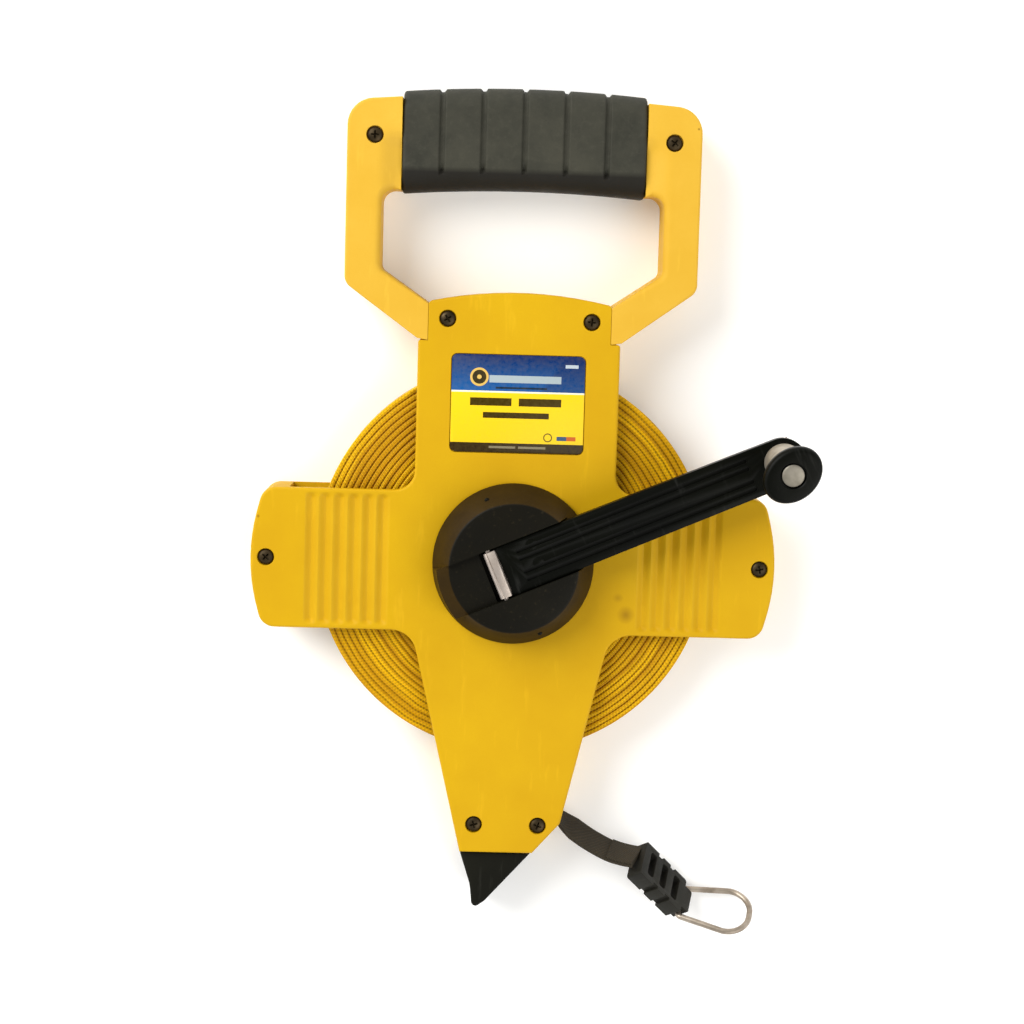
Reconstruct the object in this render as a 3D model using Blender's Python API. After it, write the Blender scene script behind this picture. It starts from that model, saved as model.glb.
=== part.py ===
"""Open-frame surveyor's tape reel, 30 m, lying on its back.

The origin is on the drum's axis at the rear face. +Y points to the handle, +Z out of the front.
"""
from math import acos, asin, atan2, cos, pi, radians, sin, sqrt, tan

import bmesh
import bpy
from mathutils import Matrix, Vector

MM = 0.001
GAP = 0.3 * MM

# Frame: a cross of two moulded shells that meet at half thickness.
FRAME_T = 24.0 * MM
MID = FRAME_T / 2
WALL = 2.6 * MM
GATE_LOW = 4.6 * MM
GATE_HIGH = FRAME_T - GATE_LOW
EDGE_WALL = 2.4 * MM
ARM_HALF = 25.4 * MM
ARM_REACH = 94.5 * MM
ARM_BOW_R = 68.0 * MM
ARM_WINDOW = 81.0 * MM
COLUMN_HALF = 36.1 * MM
SHOULDER_Y = 79.3 * MM
TAB_HALF = 32.6 * MM
TAB_CORNER_Y = 93.2 * MM
TAB_TOP_Y = 96.9 * MM
FOOT_Y = -106.6 * MM
FOOT_LEFT = -16.6 * MM
FOOT_RIGHT = 9.9 * MM
MOUTH_CORNER = (19.8 * MM, -95.4 * MM)
SIDE_SCREW_X = 89.0 * MM
TOP_SCREW = (25.7 * MM, 87.2 * MM)
FOOT_SCREW = (11.65 * MM, -96.3 * MM)
LABEL_HALF = 23.8 * MM
LABEL_LOW_Y = 39.9 * MM
LABEL_HIGH_Y = 74.8 * MM

# Screws.
SCREW_HEAD_R = 2.75 * MM
SCREW_HEAD_H = 1.7 * MM
SCREW_SHANK_R = 1.3 * MM
RECESS_R = 3.05 * MM
RECESS_DEPTH = 2.0 * MM
POST_R = 3.0 * MM

# Tape and drum.
TAPE_WIDTH = 13.0 * MM
TAPE_T = 0.5 * MM
CORE_R = 30.0 * MM
COIL_R = 72.6 * MM
COIL_ROOM = 75.2 * MM
FRONT_JOURNAL_R = 20.0 * MM
REAR_JOURNAL_R = 12.0 * MM

# Crank hub, with a groove across it that holds the crank.
CRANK_ANGLE = radians(23.2)
HUB_R = 29.0 * MM
HUB_TOP_R = 22.9 * MM
HUB_H = 15.5 * MM
HUB_BASE = FRAME_T + GAP
HUB_TOP = FRAME_T + HUB_H
GROOVE_HALF = 9.45 * MM
REST_TOP_R = 27.2 * MM
PLATEAU_Z = HUB_TOP - 2.4 * MM
GROOVE_FLOOR = HUB_TOP - 6.6 * MM
HINGE_S = -6.4 * MM
HINGE_Z = HUB_TOP - 1.9 * MM

# Crank arm, measured from the hinge axis: along the arm, and above the axis.
ARM_START = 2.8 * MM
ARM_TOP = 0.4 * MM
ARM_BOTTOM = -4.2 * MM
CRANK_R = 102.3 * MM
ARM_W_HUB = 18.2 * MM
ARM_W_END = 16.9 * MM
STRIP_T = 0.8 * MM
STRIP_W = 15.4 * MM
EYE_R = 1.9 * MM
PIN_R = 0.9 * MM

# Knob.
NECK_R = 6.85 * MM
NECK_H = 22.0 * MM
CAP_T = 5.0 * MM
CAP_HALF_LONG = 11.0 * MM
CAP_HALF_SHORT = 8.85 * MM
RIVET_R = 3.8 * MM
RIVET_SHANK_R = 2.2 * MM
KNOB_LEAN_SIDE = radians(4.5)
KNOB_LEAN_IN = radians(2.5)

# Handle and grip.
LEG_OUTER = 62.8 * MM
LEG_INNER = 50.2 * MM
HAND_TOP_Y = 132.2 * MM
HANDLE_TOP_Y = 164.7 * MM
BAR_LOW_Y = 136.5 * MM
BAR_HIGH_Y = 161.0 * MM
BAR_MARGIN = 4.5 * MM
GRIP_HALF = 43.2 * MM
GRIP_END_LOW = 131.2 * MM
GRIP_END_HIGH = 167.2 * MM
GRIP_CROWN = 1.9 * MM
GRIP_SKIN = 0.6 * MM
HANDLE_SCREW = (53.0 * MM, 151.2 * MM)

# Leader, clip and ring, lying beside the foot.
TAPE_EXIT = Vector((18.4, -92.6, 12.0)) * MM
STRAP_T = 1.1 * MM
STRAP_LEAN = Vector((-0.31, -0.32, 0.90))
CLIP_SIZE = Vector((24.5, 15.0, 6.6)) * MM
CLIP_ALONG = Vector((0.652, -0.685, -0.326))
CLIP_WIDE = Vector((-0.208, -0.575, 0.791))
CLIP_CENTRE = Vector((57.1, -118.2, 12.1)) * MM
CLIP_NOSE = 4.0 * MM
CLIP_NOSE_HALF = 4.9 * MM
CLIP_EYE = Vector((2.2, 0.0, 0.0)) * MM
WIRE_R = 1.1 * MM
RING_TURN = radians(48.0)
RING_BASE_HALF = 6.5 * MM
RING_FAR_HALF = 9.5 * MM
RING_REACH = 26.0 * MM

COLOURS = {
    "yellow": ((0.80, 0.48, 0.012), 0.42, 0.0),
    "handle_yellow": ((0.86, 0.56, 0.06), 0.45, 0.0),
    "black": ((0.012, 0.012, 0.009), 0.42, 0.0),
    "rubber": ((0.035, 0.035, 0.028), 0.75, 0.0),
    "steel": ((0.55, 0.52, 0.48), 0.3, 1.0),
    "neck": ((0.40, 0.37, 0.33), 0.4, 0.6),
    "screw": ((0.03, 0.025, 0.015), 0.45, 0.8),
    "tape": ((0.56, 0.30, 0.012), 0.5, 0.0),
    "strap": ((0.045, 0.035, 0.022), 0.8, 0.0),
    "label": ((0.75, 0.55, 0.05), 0.35, 0.0),
}


def clear_scene():
    for obj in list(bpy.data.objects):
        bpy.data.objects.remove(obj, do_unlink=True)


def material(name):
    existing = bpy.data.materials.get(name)
    if existing:
        return existing
    colour, roughness, metallic = COLOURS[name]
    made = bpy.data.materials.new(name)
    made.use_nodes = True
    shader = made.node_tree.nodes["Principled BSDF"]
    shader.inputs["Base Color"].default_value = (*colour, 1.0)
    shader.inputs["Roughness"].default_value = roughness
    shader.inputs["Metallic"].default_value = metallic
    return made


def add_object(name, bm, colour=None, smooth_angle=None):
    bmesh.ops.recalc_face_normals(bm, faces=bm.faces)
    mesh = bpy.data.meshes.new(name)
    bm.to_mesh(mesh)
    bm.free()
    obj = bpy.data.objects.new(name, mesh)
    bpy.context.scene.collection.objects.link(obj)
    if colour:
        mesh.materials.append(material(colour))
    if smooth_angle:
        mesh.shade_smooth()
        mesh.set_sharp_from_angle(angle=radians(smooth_angle))
    return obj


def add_group(name, location, parent=None, turn=0.0):
    """An empty on a joint's axis, which the moving pieces hang on."""
    empty = bpy.data.objects.new(name, None)
    bpy.context.scene.collection.objects.link(empty)
    empty.location = location
    empty.rotation_euler = (0.0, 0.0, turn)
    empty.parent = parent
    return empty


# Outlines and solids.


def rounded(corners, steps=5):
    """A closed outline through (x, y, radius) corners, each rounded by an arc."""
    points = []
    count = len(corners)
    for i, (x, y, radius) in enumerate(corners):
        here = Vector((x, y))
        if radius == 0:
            points.append(here)
            continue
        back = (Vector(corners[i - 1][:2]) - here).normalized()
        ahead = (Vector(corners[(i + 1) % count][:2]) - here).normalized()
        half = acos(max(-1.0, min(1.0, back.dot(ahead)))) / 2
        centre = here + (back + ahead).normalized() * (radius / sin(half))
        reach = radius / tan(half)
        first = here + back * reach - centre
        last = here + ahead * reach - centre
        a0 = atan2(first.y, first.x)
        turn = (atan2(last.y, last.x) - a0 + pi) % (2 * pi) - pi
        for k in range(steps + 1):
            a = a0 + turn * k / steps
            points.append(centre + radius * Vector((cos(a), sin(a))))
    return points


def inset(points, distance):
    """A counter-clockwise outline moved inwards by a distance."""
    moved = []
    count = len(points)
    for i, here in enumerate(points):
        before = (here - points[i - 1]).normalized()
        after = (points[(i + 1) % count] - here).normalized()
        normal = Vector((-before.y - after.y, before.x + after.x)).normalized()
        stretch = max(0.5, normal.dot(Vector((-before.y, before.x))))
        moved.append(here + normal * distance / stretch)
    return moved


def circle(x, y, radius, steps=24):
    return [
        Vector((x + radius * cos(2 * pi * k / steps), y + radius * sin(2 * pi * k / steps)))
        for k in range(steps)
    ]


def box_outline(x0, y0, x1, y1):
    return [Vector((x0, y0)), Vector((x1, y0)), Vector((x1, y1)), Vector((x0, y1))]


def prism_into(bm, outline, z0, z1):
    low = [bm.verts.new((p.x, p.y, z0)) for p in outline]
    high = [bm.verts.new((p.x, p.y, z1)) for p in outline]
    bm.faces.new(list(reversed(low)))
    bm.faces.new(high)
    for i in range(len(outline)):
        j = (i + 1) % len(outline)
        bm.faces.new((low[i], low[j], high[j], high[i]))


def prism(name, outline, z0, z1, colour=None, smooth_angle=None):
    bm = bmesh.new()
    prism_into(bm, outline, z0, z1)
    return add_object(name, bm, colour, smooth_angle)


def loft_into(bm, sections):
    """A closed solid through rings of points with equal counts."""
    rings = [[bm.verts.new(p) for p in ring] for ring in sections]
    for a, b in zip(rings, rings[1:]):
        for i in range(len(a)):
            j = (i + 1) % len(a)
            bm.faces.new((a[i], a[j], b[j], b[i]))
    bm.faces.new(list(reversed(rings[0])))
    bm.faces.new(rings[-1])


def turned_into(bm, profile, steps=48, centre=(0.0, 0.0)):
    """A solid of revolution about Z from a closed (radius, z) profile."""
    cx, cy = centre
    rings = []
    for radius, z in profile:
        if radius == 0:
            rings.append([bm.verts.new((cx, cy, z))])
            continue
        angles = [2 * pi * k / steps for k in range(steps)]
        rings.append([bm.verts.new((cx + radius * cos(a), cy + radius * sin(a), z)) for a in angles])
    for a, b in zip(rings, rings[1:] + rings[:1]):
        if len(a) == 1 and len(b) == 1:
            continue
        for i in range(steps):
            j = (i + 1) % steps
            corners = [a[i % len(a)], a[j % len(a)], b[j % len(b)], b[i % len(b)]]
            bm.faces.new(list(dict.fromkeys(corners)))


def turned(name, profile, colour, steps=48, smooth_angle=35):
    bm = bmesh.new()
    turned_into(bm, profile, steps)
    return add_object(name, bm, colour, smooth_angle)


def cutter(name, bm):
    obj = add_object(name, bm)
    obj.hide_render = True
    obj.display_type = "WIRE"
    return obj


def prism_cutter(name, outlines, z0, z1):
    bm = bmesh.new()
    for outline in outlines:
        prism_into(bm, outline, z0, z1)
    return cutter(name, bm)


def boolean(obj, tool, operation="DIFFERENCE"):
    modifier = obj.modifiers.new(tool.name, "BOOLEAN")
    modifier.operation = operation
    modifier.solver = "EXACT"
    modifier.object = tool


# The frame.


def frame_outline():
    """The cross seen from the front, counter-clockwise."""
    bow_centre = ARM_REACH - ARM_BOW_R
    bow = [
        (bow_centre + sqrt(ARM_BOW_R**2 - y**2), y, 0)
        for y in (-16 * MM, -8 * MM, 0, 8 * MM, 16 * MM)
    ]
    arm_corner_x = bow_centre + sqrt(ARM_BOW_R**2 - ARM_HALF**2) + 0.6 * MM
    arm = [(arm_corner_x, -ARM_HALF, 6 * MM), *bow, (arm_corner_x, ARM_HALF, 6 * MM)]
    crown = [
        (x, TAB_CORNER_Y + (TAB_TOP_Y - TAB_CORNER_Y) * (1 - (x / TAB_HALF) ** 2), 0)
        for x in (22 * MM, 11 * MM, 0, -11 * MM, -22 * MM)
    ]
    waist_x = 36.0 * MM
    right = [
        (*MOUTH_CORNER, 0),
        (waist_x, -ARM_HALF, 9.5 * MM),
        *arm,
        (COLUMN_HALF, ARM_HALF, 7.3 * MM),
        (COLUMN_HALF, SHOULDER_Y, 0),
        (TAB_HALF, SHOULDER_Y, 0),
        (TAB_HALF, TAB_CORNER_Y, 0),
    ]
    left = [(-x, y, r) for x, y, r in reversed(right[1:])]
    foot = [(FOOT_LEFT, FOOT_Y, 0), (FOOT_RIGHT, FOOT_Y, 0)]
    return rounded(right + crown + left + foot)


def screw_places():
    return [
        (SIDE_SCREW_X, 0.0),
        (-SIDE_SCREW_X, 0.0),
        TOP_SCREW,
        (-TOP_SCREW[0], TOP_SCREW[1]),
        FOOT_SCREW,
        (-FOOT_SCREW[0], FOOT_SCREW[1]),
    ]


def add_posts(shell, name, z0, z1, places):
    """Posts that stand from a shell's plate to the parting plane."""
    for number, (x, y) in enumerate(places, 1):
        post = prism_cutter(f"{name}_post_{number}", [circle(x, y, POST_R, 16)], z0, z1)
        boolean(shell, post, "UNION")


def hollow_shell(shell, name, z0, z1):
    """Takes the coil's room, the inside and the arms' side windows out of a frame half."""
    room = prism_cutter(f"{name}_coil_room", [circle(0, 0, COIL_ROOM, 64)], z0, z1)
    boolean(shell, room)
    inside = prism_cutter(f"{name}_inside", [inset(frame_outline(), EDGE_WALL)], z0, z1)
    boolean(shell, inside)
    side = box_outline(-ARM_WINDOW, -30 * MM, ARM_WINDOW, 30 * MM)
    boolean(shell, prism_cutter(f"{name}_side_windows", [side], z0, z1))


def gate_outlines():
    """Gaps in the edge walls: the tape mouth, the handle's tongues and the spike's tang."""
    mouth = box_outline(15.5 * MM, -98.4 * MM, 24 * MM, -88.6 * MM)
    tang = box_outline(-8.6 * MM, FOOT_Y - MM, 5.6 * MM, FOOT_Y + 4 * MM)
    tongues = [
        box_outline(x0, TOP_SCREW[1] - 5.8 * MM, x1, TOP_SCREW[1] + 5.0 * MM)
        for x0, x1 in ((29.0 * MM, 35.0 * MM), (-35.0 * MM, -29.0 * MM))
    ]
    return [mouth, tang, *tongues]


def build_front_frame():
    z0 = MID + GAP / 2
    inner = FRAME_T - WALL
    shell = prism("front_frame", frame_outline(), z0, FRAME_T, "yellow")
    hollow_shell(shell, "front", z0 - MM, inner)
    boolean(shell, prism_cutter("front_gates", gate_outlines(), z0 - MM, GATE_HIGH))
    add_posts(shell, "front", z0, inner + MM, screw_places())
    bore = circle(0, 0, FRONT_JOURNAL_R + GAP, 48)
    boolean(shell, prism_cutter("front_bore", [bore], inner - MM, FRAME_T + MM))
    holes = [circle(x, y, SCREW_SHANK_R + GAP, 12) for x, y in screw_places()]
    boolean(shell, prism_cutter("front_screw_holes", holes, z0 - MM, FRAME_T + MM))
    recesses = [circle(x, y, RECESS_R, 20) for x, y in screw_places()]
    recess_floor = FRAME_T - RECESS_DEPTH
    boolean(shell, prism_cutter("front_recesses", recesses, recess_floor, FRAME_T + MM))
    bed = label_outline(GAP)
    boolean(shell, prism_cutter("label_bed", [bed], FRAME_T - 0.8 * MM, FRAME_T + MM))
    return shell


def build_rear_frame():
    z1 = MID - GAP / 2
    shell = prism("rear_frame", frame_outline(), 0.0, z1, "yellow")
    hollow_shell(shell, "rear", WALL, z1 + MM)
    boolean(shell, prism_cutter("rear_gates", gate_outlines(), GATE_LOW, z1 + MM))
    add_posts(shell, "rear", WALL - MM, z1, screw_places())
    bm = bmesh.new()
    inner_r = REAR_JOURNAL_R + GAP
    cup = [(inner_r, WALL - MM), (inner_r + 2.5 * MM, WALL - MM)]
    cup += [(inner_r + 2.5 * MM, WALL + 2.4 * MM), (inner_r, WALL + 2.4 * MM)]
    turned_into(bm, cup, 40)
    boolean(shell, cutter("rear_bearing_cup", bm), "UNION")
    holes = [circle(x, y, SCREW_SHANK_R + GAP, 12) for x, y in screw_places()]
    boolean(shell, prism_cutter("rear_screw_holes", holes, WALL, z1 + MM))
    return shell


def label_outline(grow=0.0):
    x0, x1 = -LABEL_HALF - grow, LABEL_HALF + grow
    y0, y1 = LABEL_LOW_Y - grow, LABEL_HIGH_Y + grow
    radius = 2.0 * MM + grow
    corners = [(x0, y0, radius), (x1, y0, radius), (x1, y1, radius), (x0, y1, radius)]
    return rounded(corners, 4)


def build_label():
    floor = FRAME_T - 0.8 * MM
    return prism("label", label_outline(), floor + GAP, FRAME_T - 0.05 * MM, "label")


def build_screw(name, x, y, head_seat, tip, colour="screw"):
    """A pan-head screw with a cross recess, standing along Z at (x, y)."""
    head_top = head_seat + SCREW_HEAD_H
    bm = bmesh.new()
    profile = [
        (0, head_top),
        (SCREW_HEAD_R * 0.72, head_top),
        (SCREW_HEAD_R, head_seat + 0.7 * MM),
        (SCREW_HEAD_R, head_seat),
        (SCREW_SHANK_R, head_seat),
        (SCREW_SHANK_R, tip + MM),
        (0, tip),
    ]
    turned_into(bm, list(reversed(profile)), 16, (x, y))
    screw = add_object(name, bm, colour, 35)
    cross = bmesh.new()
    long, short = 1.5 * MM, 0.3 * MM
    low, high = head_top - 0.8 * MM, head_top + 0.5 * MM
    corners = [(long, -short), (long, short), (short, short), (short, long)]
    corners += [(-short, long), (-short, short), (-long, short), (-long, -short)]
    corners += [(-short, -short), (-short, -long), (short, -long), (short, -short)]
    prism_into(cross, [Vector((x + dx, y + dy)) for dx, dy in corners], low, high)
    boolean(screw, cutter(name + "_cross", cross))
    return screw


def build_frame_screws():
    seat = FRAME_T - RECESS_DEPTH + GAP
    for number, (x, y) in enumerate(screw_places(), 1):
        build_screw(f"frame_screw_{number}", x, y, seat, WALL + 1.0 * MM)


def build_spike():
    """The pointed foot with the tang that the two frame halves clamp."""
    top = FOOT_Y - GAP
    corners = [
        (FOOT_LEFT, top, 0),
        (-12.5 * MM, -119.5 * MM, 12 * MM),
        (-11.5 * MM, -129.0 * MM, 1.6 * MM),
        (-7.0 * MM, -125.8 * MM, 3 * MM),
        (FOOT_RIGHT, top, 0),
    ]
    outline = rounded(corners)
    spike = prism("ground_spike", outline, 3.0 * MM, FRAME_T - 3.0 * MM, "rubber")
    tang = box_outline(-8.3 * MM, top - MM, 5.3 * MM, top + 6.8 * MM)
    tang_solid = prism_cutter("spike_tang", [tang], GATE_LOW + GAP, GATE_HIGH - GAP)
    boolean(spike, tang_solid, "UNION")
    return spike


# The handle.


def handle_outline():
    """The U handle, counter-clockwise, with the bar narrowed where the grip sits."""
    foot_x = TAB_HALF + GAP
    bar_x = GRIP_HALF + GAP
    right = [
        (foot_x, SHOULDER_Y + GAP, 0),
        (36.5 * MM, 80.0 * MM, 0),
        (LEG_OUTER, 98.9 * MM, 5 * MM),
        (LEG_OUTER, HANDLE_TOP_Y - 1.3 * MM, 9.5 * MM),
        (bar_x, HANDLE_TOP_Y, 0),
        (bar_x, BAR_HIGH_Y, 0),
    ]
    left = [(-x, y, r) for x, y, r in reversed(right)]
    inner_left = [
        (-foot_x, 92.4 * MM, 0),
        (-LEG_INNER, 104.4 * MM, 3 * MM),
        (-LEG_INNER, HAND_TOP_Y, 4.5 * MM),
        (-bar_x, HAND_TOP_Y, 0),
        (-bar_x, BAR_LOW_Y, 0),
    ]
    inner_right = [(-x, y, r) for x, y, r in reversed(inner_left)]
    return rounded(right + left + inner_left + inner_right)


def tongue_outlines():
    x, y = TOP_SCREW
    outlines = []
    for side in (1, -1):
        ends = sorted((side * (x - 5.2 * MM), side * (TAB_HALF + 2 * MM)))
        outlines.append(box_outline(ends[0], y - 5.0 * MM, ends[1], y + 3.9 * MM))
    return outlines


def build_handle_half(name, z0, z1, bar_cut, tongue_span):
    half = prism(name, handle_outline(), z0, z1, "handle_yellow")
    grip_room = box_outline(-GRIP_HALF - GAP, 125 * MM, GRIP_HALF + GAP, 175 * MM)
    boolean(half, prism_cutter(name + "_bar_cut", [grip_room], *bar_cut))
    for number, outline in enumerate(tongue_outlines(), 1):
        tongue = prism_cutter(f"{name}_tongue_{number}", [outline], *tongue_span)
        boolean(half, tongue, "UNION")
    holes = [circle(s * TOP_SCREW[0], TOP_SCREW[1], POST_R + GAP, 20) for s in (1, -1)]
    boolean(half, prism_cutter(name + "_post_holes", holes, z0 - MM, z1 + MM))
    return half


def build_handle():
    low = (GATE_LOW + GAP, MID - GAP / 2)
    high = (MID + GAP / 2, GATE_HIGH - GAP)
    rear_cut = (-MM, BAR_MARGIN)
    front_cut = (FRAME_T - BAR_MARGIN, FRAME_T + MM)
    front = build_handle_half("handle_front", high[0], FRAME_T, front_cut, high)
    rear = build_handle_half("handle_rear", 0.0, low[1], rear_cut, low)
    places = [(side * HANDLE_SCREW[0], HANDLE_SCREW[1]) for side in (1, -1)]
    through = [circle(x, y, SCREW_SHANK_R + GAP, 12) for x, y in places]
    recesses = [circle(x, y, RECESS_R, 20) for x, y in places]
    boolean(front, prism_cutter("handle_front_holes", through, MID - MM, FRAME_T + MM))
    recess_floor = FRAME_T - RECESS_DEPTH
    boolean(front, prism_cutter("handle_recesses", recesses, recess_floor, FRAME_T + MM))
    boolean(rear, prism_cutter("handle_rear_holes", through, WALL, MID + MM))
    for number, (x, y) in enumerate(places, 1):
        build_screw(f"handle_screw_{number}", x, y, recess_floor + GAP, WALL + 1.0 * MM)


def build_grip():
    """A crowned rubber sleeve round the bar, with a rounded section."""
    bm = bmesh.new()
    sections = []
    stations = 8
    centre_z = FRAME_T / 2
    half_t = FRAME_T / 2 - GRIP_SKIN
    for k in range(stations + 1):
        x = GRIP_HALF * (2 * k / stations - 1)
        lift = GRIP_CROWN * (1 - (x / GRIP_HALF) ** 2)
        low, high = GRIP_END_LOW + lift, GRIP_END_HIGH + lift
        corners = [(low, centre_z - half_t, 8 * MM), (high, centre_z - half_t, 8 * MM)]
        corners += [(high, centre_z + half_t, 8 * MM), (low, centre_z + half_t, 8 * MM)]
        sections.append([Vector((x, p.x, p.y)) for p in rounded(corners, 5)])
    loft_into(bm, sections)
    grip = add_object("grip_sleeve", bm, "rubber", 40)
    bore = bmesh.new()
    outline = box_outline(-GRIP_HALF - MM, BAR_LOW_Y - GAP, GRIP_HALF + MM, BAR_HIGH_Y + GAP)
    prism_into(bore, outline, BAR_MARGIN - GAP, FRAME_T - BAR_MARGIN + GAP)
    boolean(grip, cutter("grip_bore", bore))
    return grip


# The reel: drum, coil and hub.


def build_drum(reel):
    """A spool with a wide front journal and a stub at the rear."""
    rear = WALL + 1.0 * MM
    front = FRAME_T - WALL - 1.5 * MM
    web = front - 3.0 * MM
    profile = [
        (0, WALL + GAP),
        (REAR_JOURNAL_R, WALL + GAP),
        (REAR_JOURNAL_R, web),
        (CORE_R - 2.6 * MM, web),
        (CORE_R - 2.6 * MM, rear),
        (CORE_R, rear),
        (CORE_R, front),
        (FRONT_JOURNAL_R, front),
        (FRONT_JOURNAL_R, FRAME_T + 1.0 * MM),
        (0, FRAME_T + 1.0 * MM),
    ]
    drum = turned("drum", profile, "yellow", 48)
    drum.parent = reel
    bores = [circle(*place, SCREW_SHANK_R + GAP, 12) for place in hub_screw_places()]
    holes = prism_cutter("drum_screw_holes", bores, 8 * MM, FRAME_T + 3 * MM)
    holes.parent = reel
    boolean(drum, holes)
    return drum


def build_coil(reel):
    z0 = (FRAME_T - TAPE_WIDTH) / 2
    z1 = z0 + TAPE_WIDTH
    inner = CORE_R + GAP
    profile = [(inner, z0), (COIL_R, z0), (COIL_R, z1), (inner, z1)]
    coil = turned("tape_coil", profile, "tape", 64)
    coil.parent = reel


def build_thrust_washer():
    z1 = FRAME_T - WALL - GAP
    z0 = z1 - 0.8 * MM
    inner = FRONT_JOURNAL_R + GAP
    profile = [(inner, z0), (27 * MM, z0), (27 * MM, z1), (inner, z1)]
    turned("thrust_washer", profile, "black", 40)


def hub_screw_places():
    """In the reel group's frame, whose X runs along the crank."""
    return [(9.0 * MM, -5.2 * MM), (9.0 * MM, 5.2 * MM)]


def build_hub(reel):
    """The cone with the crank's deep groove on one side and a shallow one on the other."""
    profile = [
        (0, HUB_BASE),
        (HUB_R, HUB_BASE),
        (HUB_R, HUB_BASE + 1.6 * MM),
        (HUB_TOP_R, HUB_TOP),
        (0, HUB_TOP),
    ]
    hub = turned("crank_hub", profile, "black", 64)
    hub.parent = reel
    half_turn = asin(GROOVE_HALF / HUB_R)
    sections = []
    for z, reach in ((HUB_BASE + MM, HUB_R), (PLATEAU_Z, REST_TOP_R)):
        rim = [
            Vector((-reach * cos(a), -HUB_R * sin(a), z))
            for a in [half_turn * (k / 4 - 1) for k in range(9)]
        ]
        ends = [Vector((0, GROOVE_HALF, z)), Vector((0, -GROOVE_HALF, z))]
        sections.append([ends[0], *rim, ends[1]])
    bm = bmesh.new()
    loft_into(bm, sections)
    rest_solid = cutter("hub_rest", bm)
    boolean(hub, rest_solid, "UNION")
    shallow = box_outline(-HUB_R - MM, -GROOVE_HALF, 0, GROOVE_HALF)
    shallow_cut = prism_cutter("hub_shallow_groove", [shallow], PLATEAU_Z, HUB_TOP + MM)
    boolean(hub, shallow_cut)
    deep = box_outline(HINGE_S - EYE_R - GAP, -GROOVE_HALF, HUB_R + MM, GROOVE_HALF)
    deep_cut = prism_cutter("hub_deep_groove", [deep], GROOVE_FLOOR, HUB_TOP + MM)
    boolean(hub, deep_cut)
    socket = circle(0, 0, FRONT_JOURNAL_R + GAP, 48)
    socket_cut = prism_cutter("hub_socket", [socket], HUB_BASE - MM, FRAME_T + 1.0 * MM + GAP)
    boolean(hub, socket_cut)
    pin_cut = cutter("hub_pin_hole", rod(14.3 * MM, PIN_R + GAP, 16))
    boolean(hub, pin_cut)
    screw_holes = [circle(*place, SCREW_SHANK_R + GAP, 12) for place in hub_screw_places()]
    screw_cut = prism_cutter("hub_screw_holes", screw_holes, FRAME_T - MM, HUB_TOP)
    boolean(hub, screw_cut)
    for tool in (rest_solid, shallow_cut, deep_cut, socket_cut, pin_cut, screw_cut):
        tool.parent = reel
    seat = GROOVE_FLOOR - 2.0 * MM
    heads = [circle(*place, RECESS_R, 20) for place in hub_screw_places()]
    head_cut = prism_cutter("hub_screw_seats", heads, seat, HUB_TOP)
    head_cut.parent = reel
    boolean(hub, head_cut)
    for number, (x, y) in enumerate(hub_screw_places(), 1):
        screw = build_screw(f"hub_screw_{number}", x, y, seat + GAP, 9.0 * MM)
        screw.parent = reel
        bpy.data.objects[f"hub_screw_{number}_cross"].parent = reel


def rod(half_length, radius, steps):
    """A round bar along Y on the hinge's axis, in the reel group's frame."""
    bm = bmesh.new()
    sections = []
    for y in (-half_length, half_length):
        ring = circle(HINGE_S, HINGE_Z, radius, steps)
        sections.append([Vector((p.x, y, p.y)) for p in ring])
    loft_into(bm, sections)
    return bm


def build_hinge_pin(reel):
    pin = add_object("hinge_pin", rod(14.0 * MM, PIN_R, 16), "steel", 35)
    pin.parent = reel


# The crank, in a group whose origin is on the hinge axis.


def arm_outline(width_hub, width_end, start, end_x, steps=10):
    """A tapered bar with a round end, seen from above."""
    end_r = width_end / 2
    tip = [
        Vector((end_x + end_r * sin(a), -end_r * cos(a)))
        for a in [pi * k / steps for k in range(steps + 1)]
    ]
    return [Vector((start, width_hub / 2)), Vector((start, -width_hub / 2))] + tip


def build_crank_arm(crank, knob):
    knob_x = CRANK_R - HINGE_S
    outline = arm_outline(ARM_W_HUB, ARM_W_END, ARM_START, knob_x)
    arm = prism("crank_arm", outline, ARM_BOTTOM, ARM_TOP, "black")
    channel = box_outline(ARM_START - MM, -STRIP_W / 2 - GAP, knob_x + 5 * MM, STRIP_W / 2 + GAP)
    top_of_strip = -EYE_R + STRIP_T + GAP
    cuts = [prism_cutter("arm_channel", [channel], -EYE_R - GAP, top_of_strip)]
    grooves = [
        box_outline(9.3 * MM, y - 0.65 * MM, 96.8 * MM, y + 0.65 * MM)
        for y in (-5.4 * MM, -2.5 * MM, 2.3 * MM, 5.2 * MM)
    ]
    cuts.append(prism_cutter("arm_grooves", grooves, ARM_TOP - 0.4 * MM, ARM_TOP + MM))
    for tool in cuts:
        tool.parent = crank
        boolean(arm, tool)
    shank = [circle(0, 0, RIVET_SHANK_R + GAP, 20)]
    heel = [circle(0, 0, RIVET_R + GAP, 20)]
    arm_t = ARM_TOP - ARM_BOTTOM
    leaning = [
        prism_cutter("arm_rivet_hole", shank, -arm_t - 2 * MM, 2 * MM),
        prism_cutter("arm_rivet_seat", heel, -arm_t - 3 * MM, -arm_t + 1.3 * MM),
    ]
    for tool in leaning:
        tool.parent = knob
        boolean(arm, tool)
    arm.parent = crank


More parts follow.
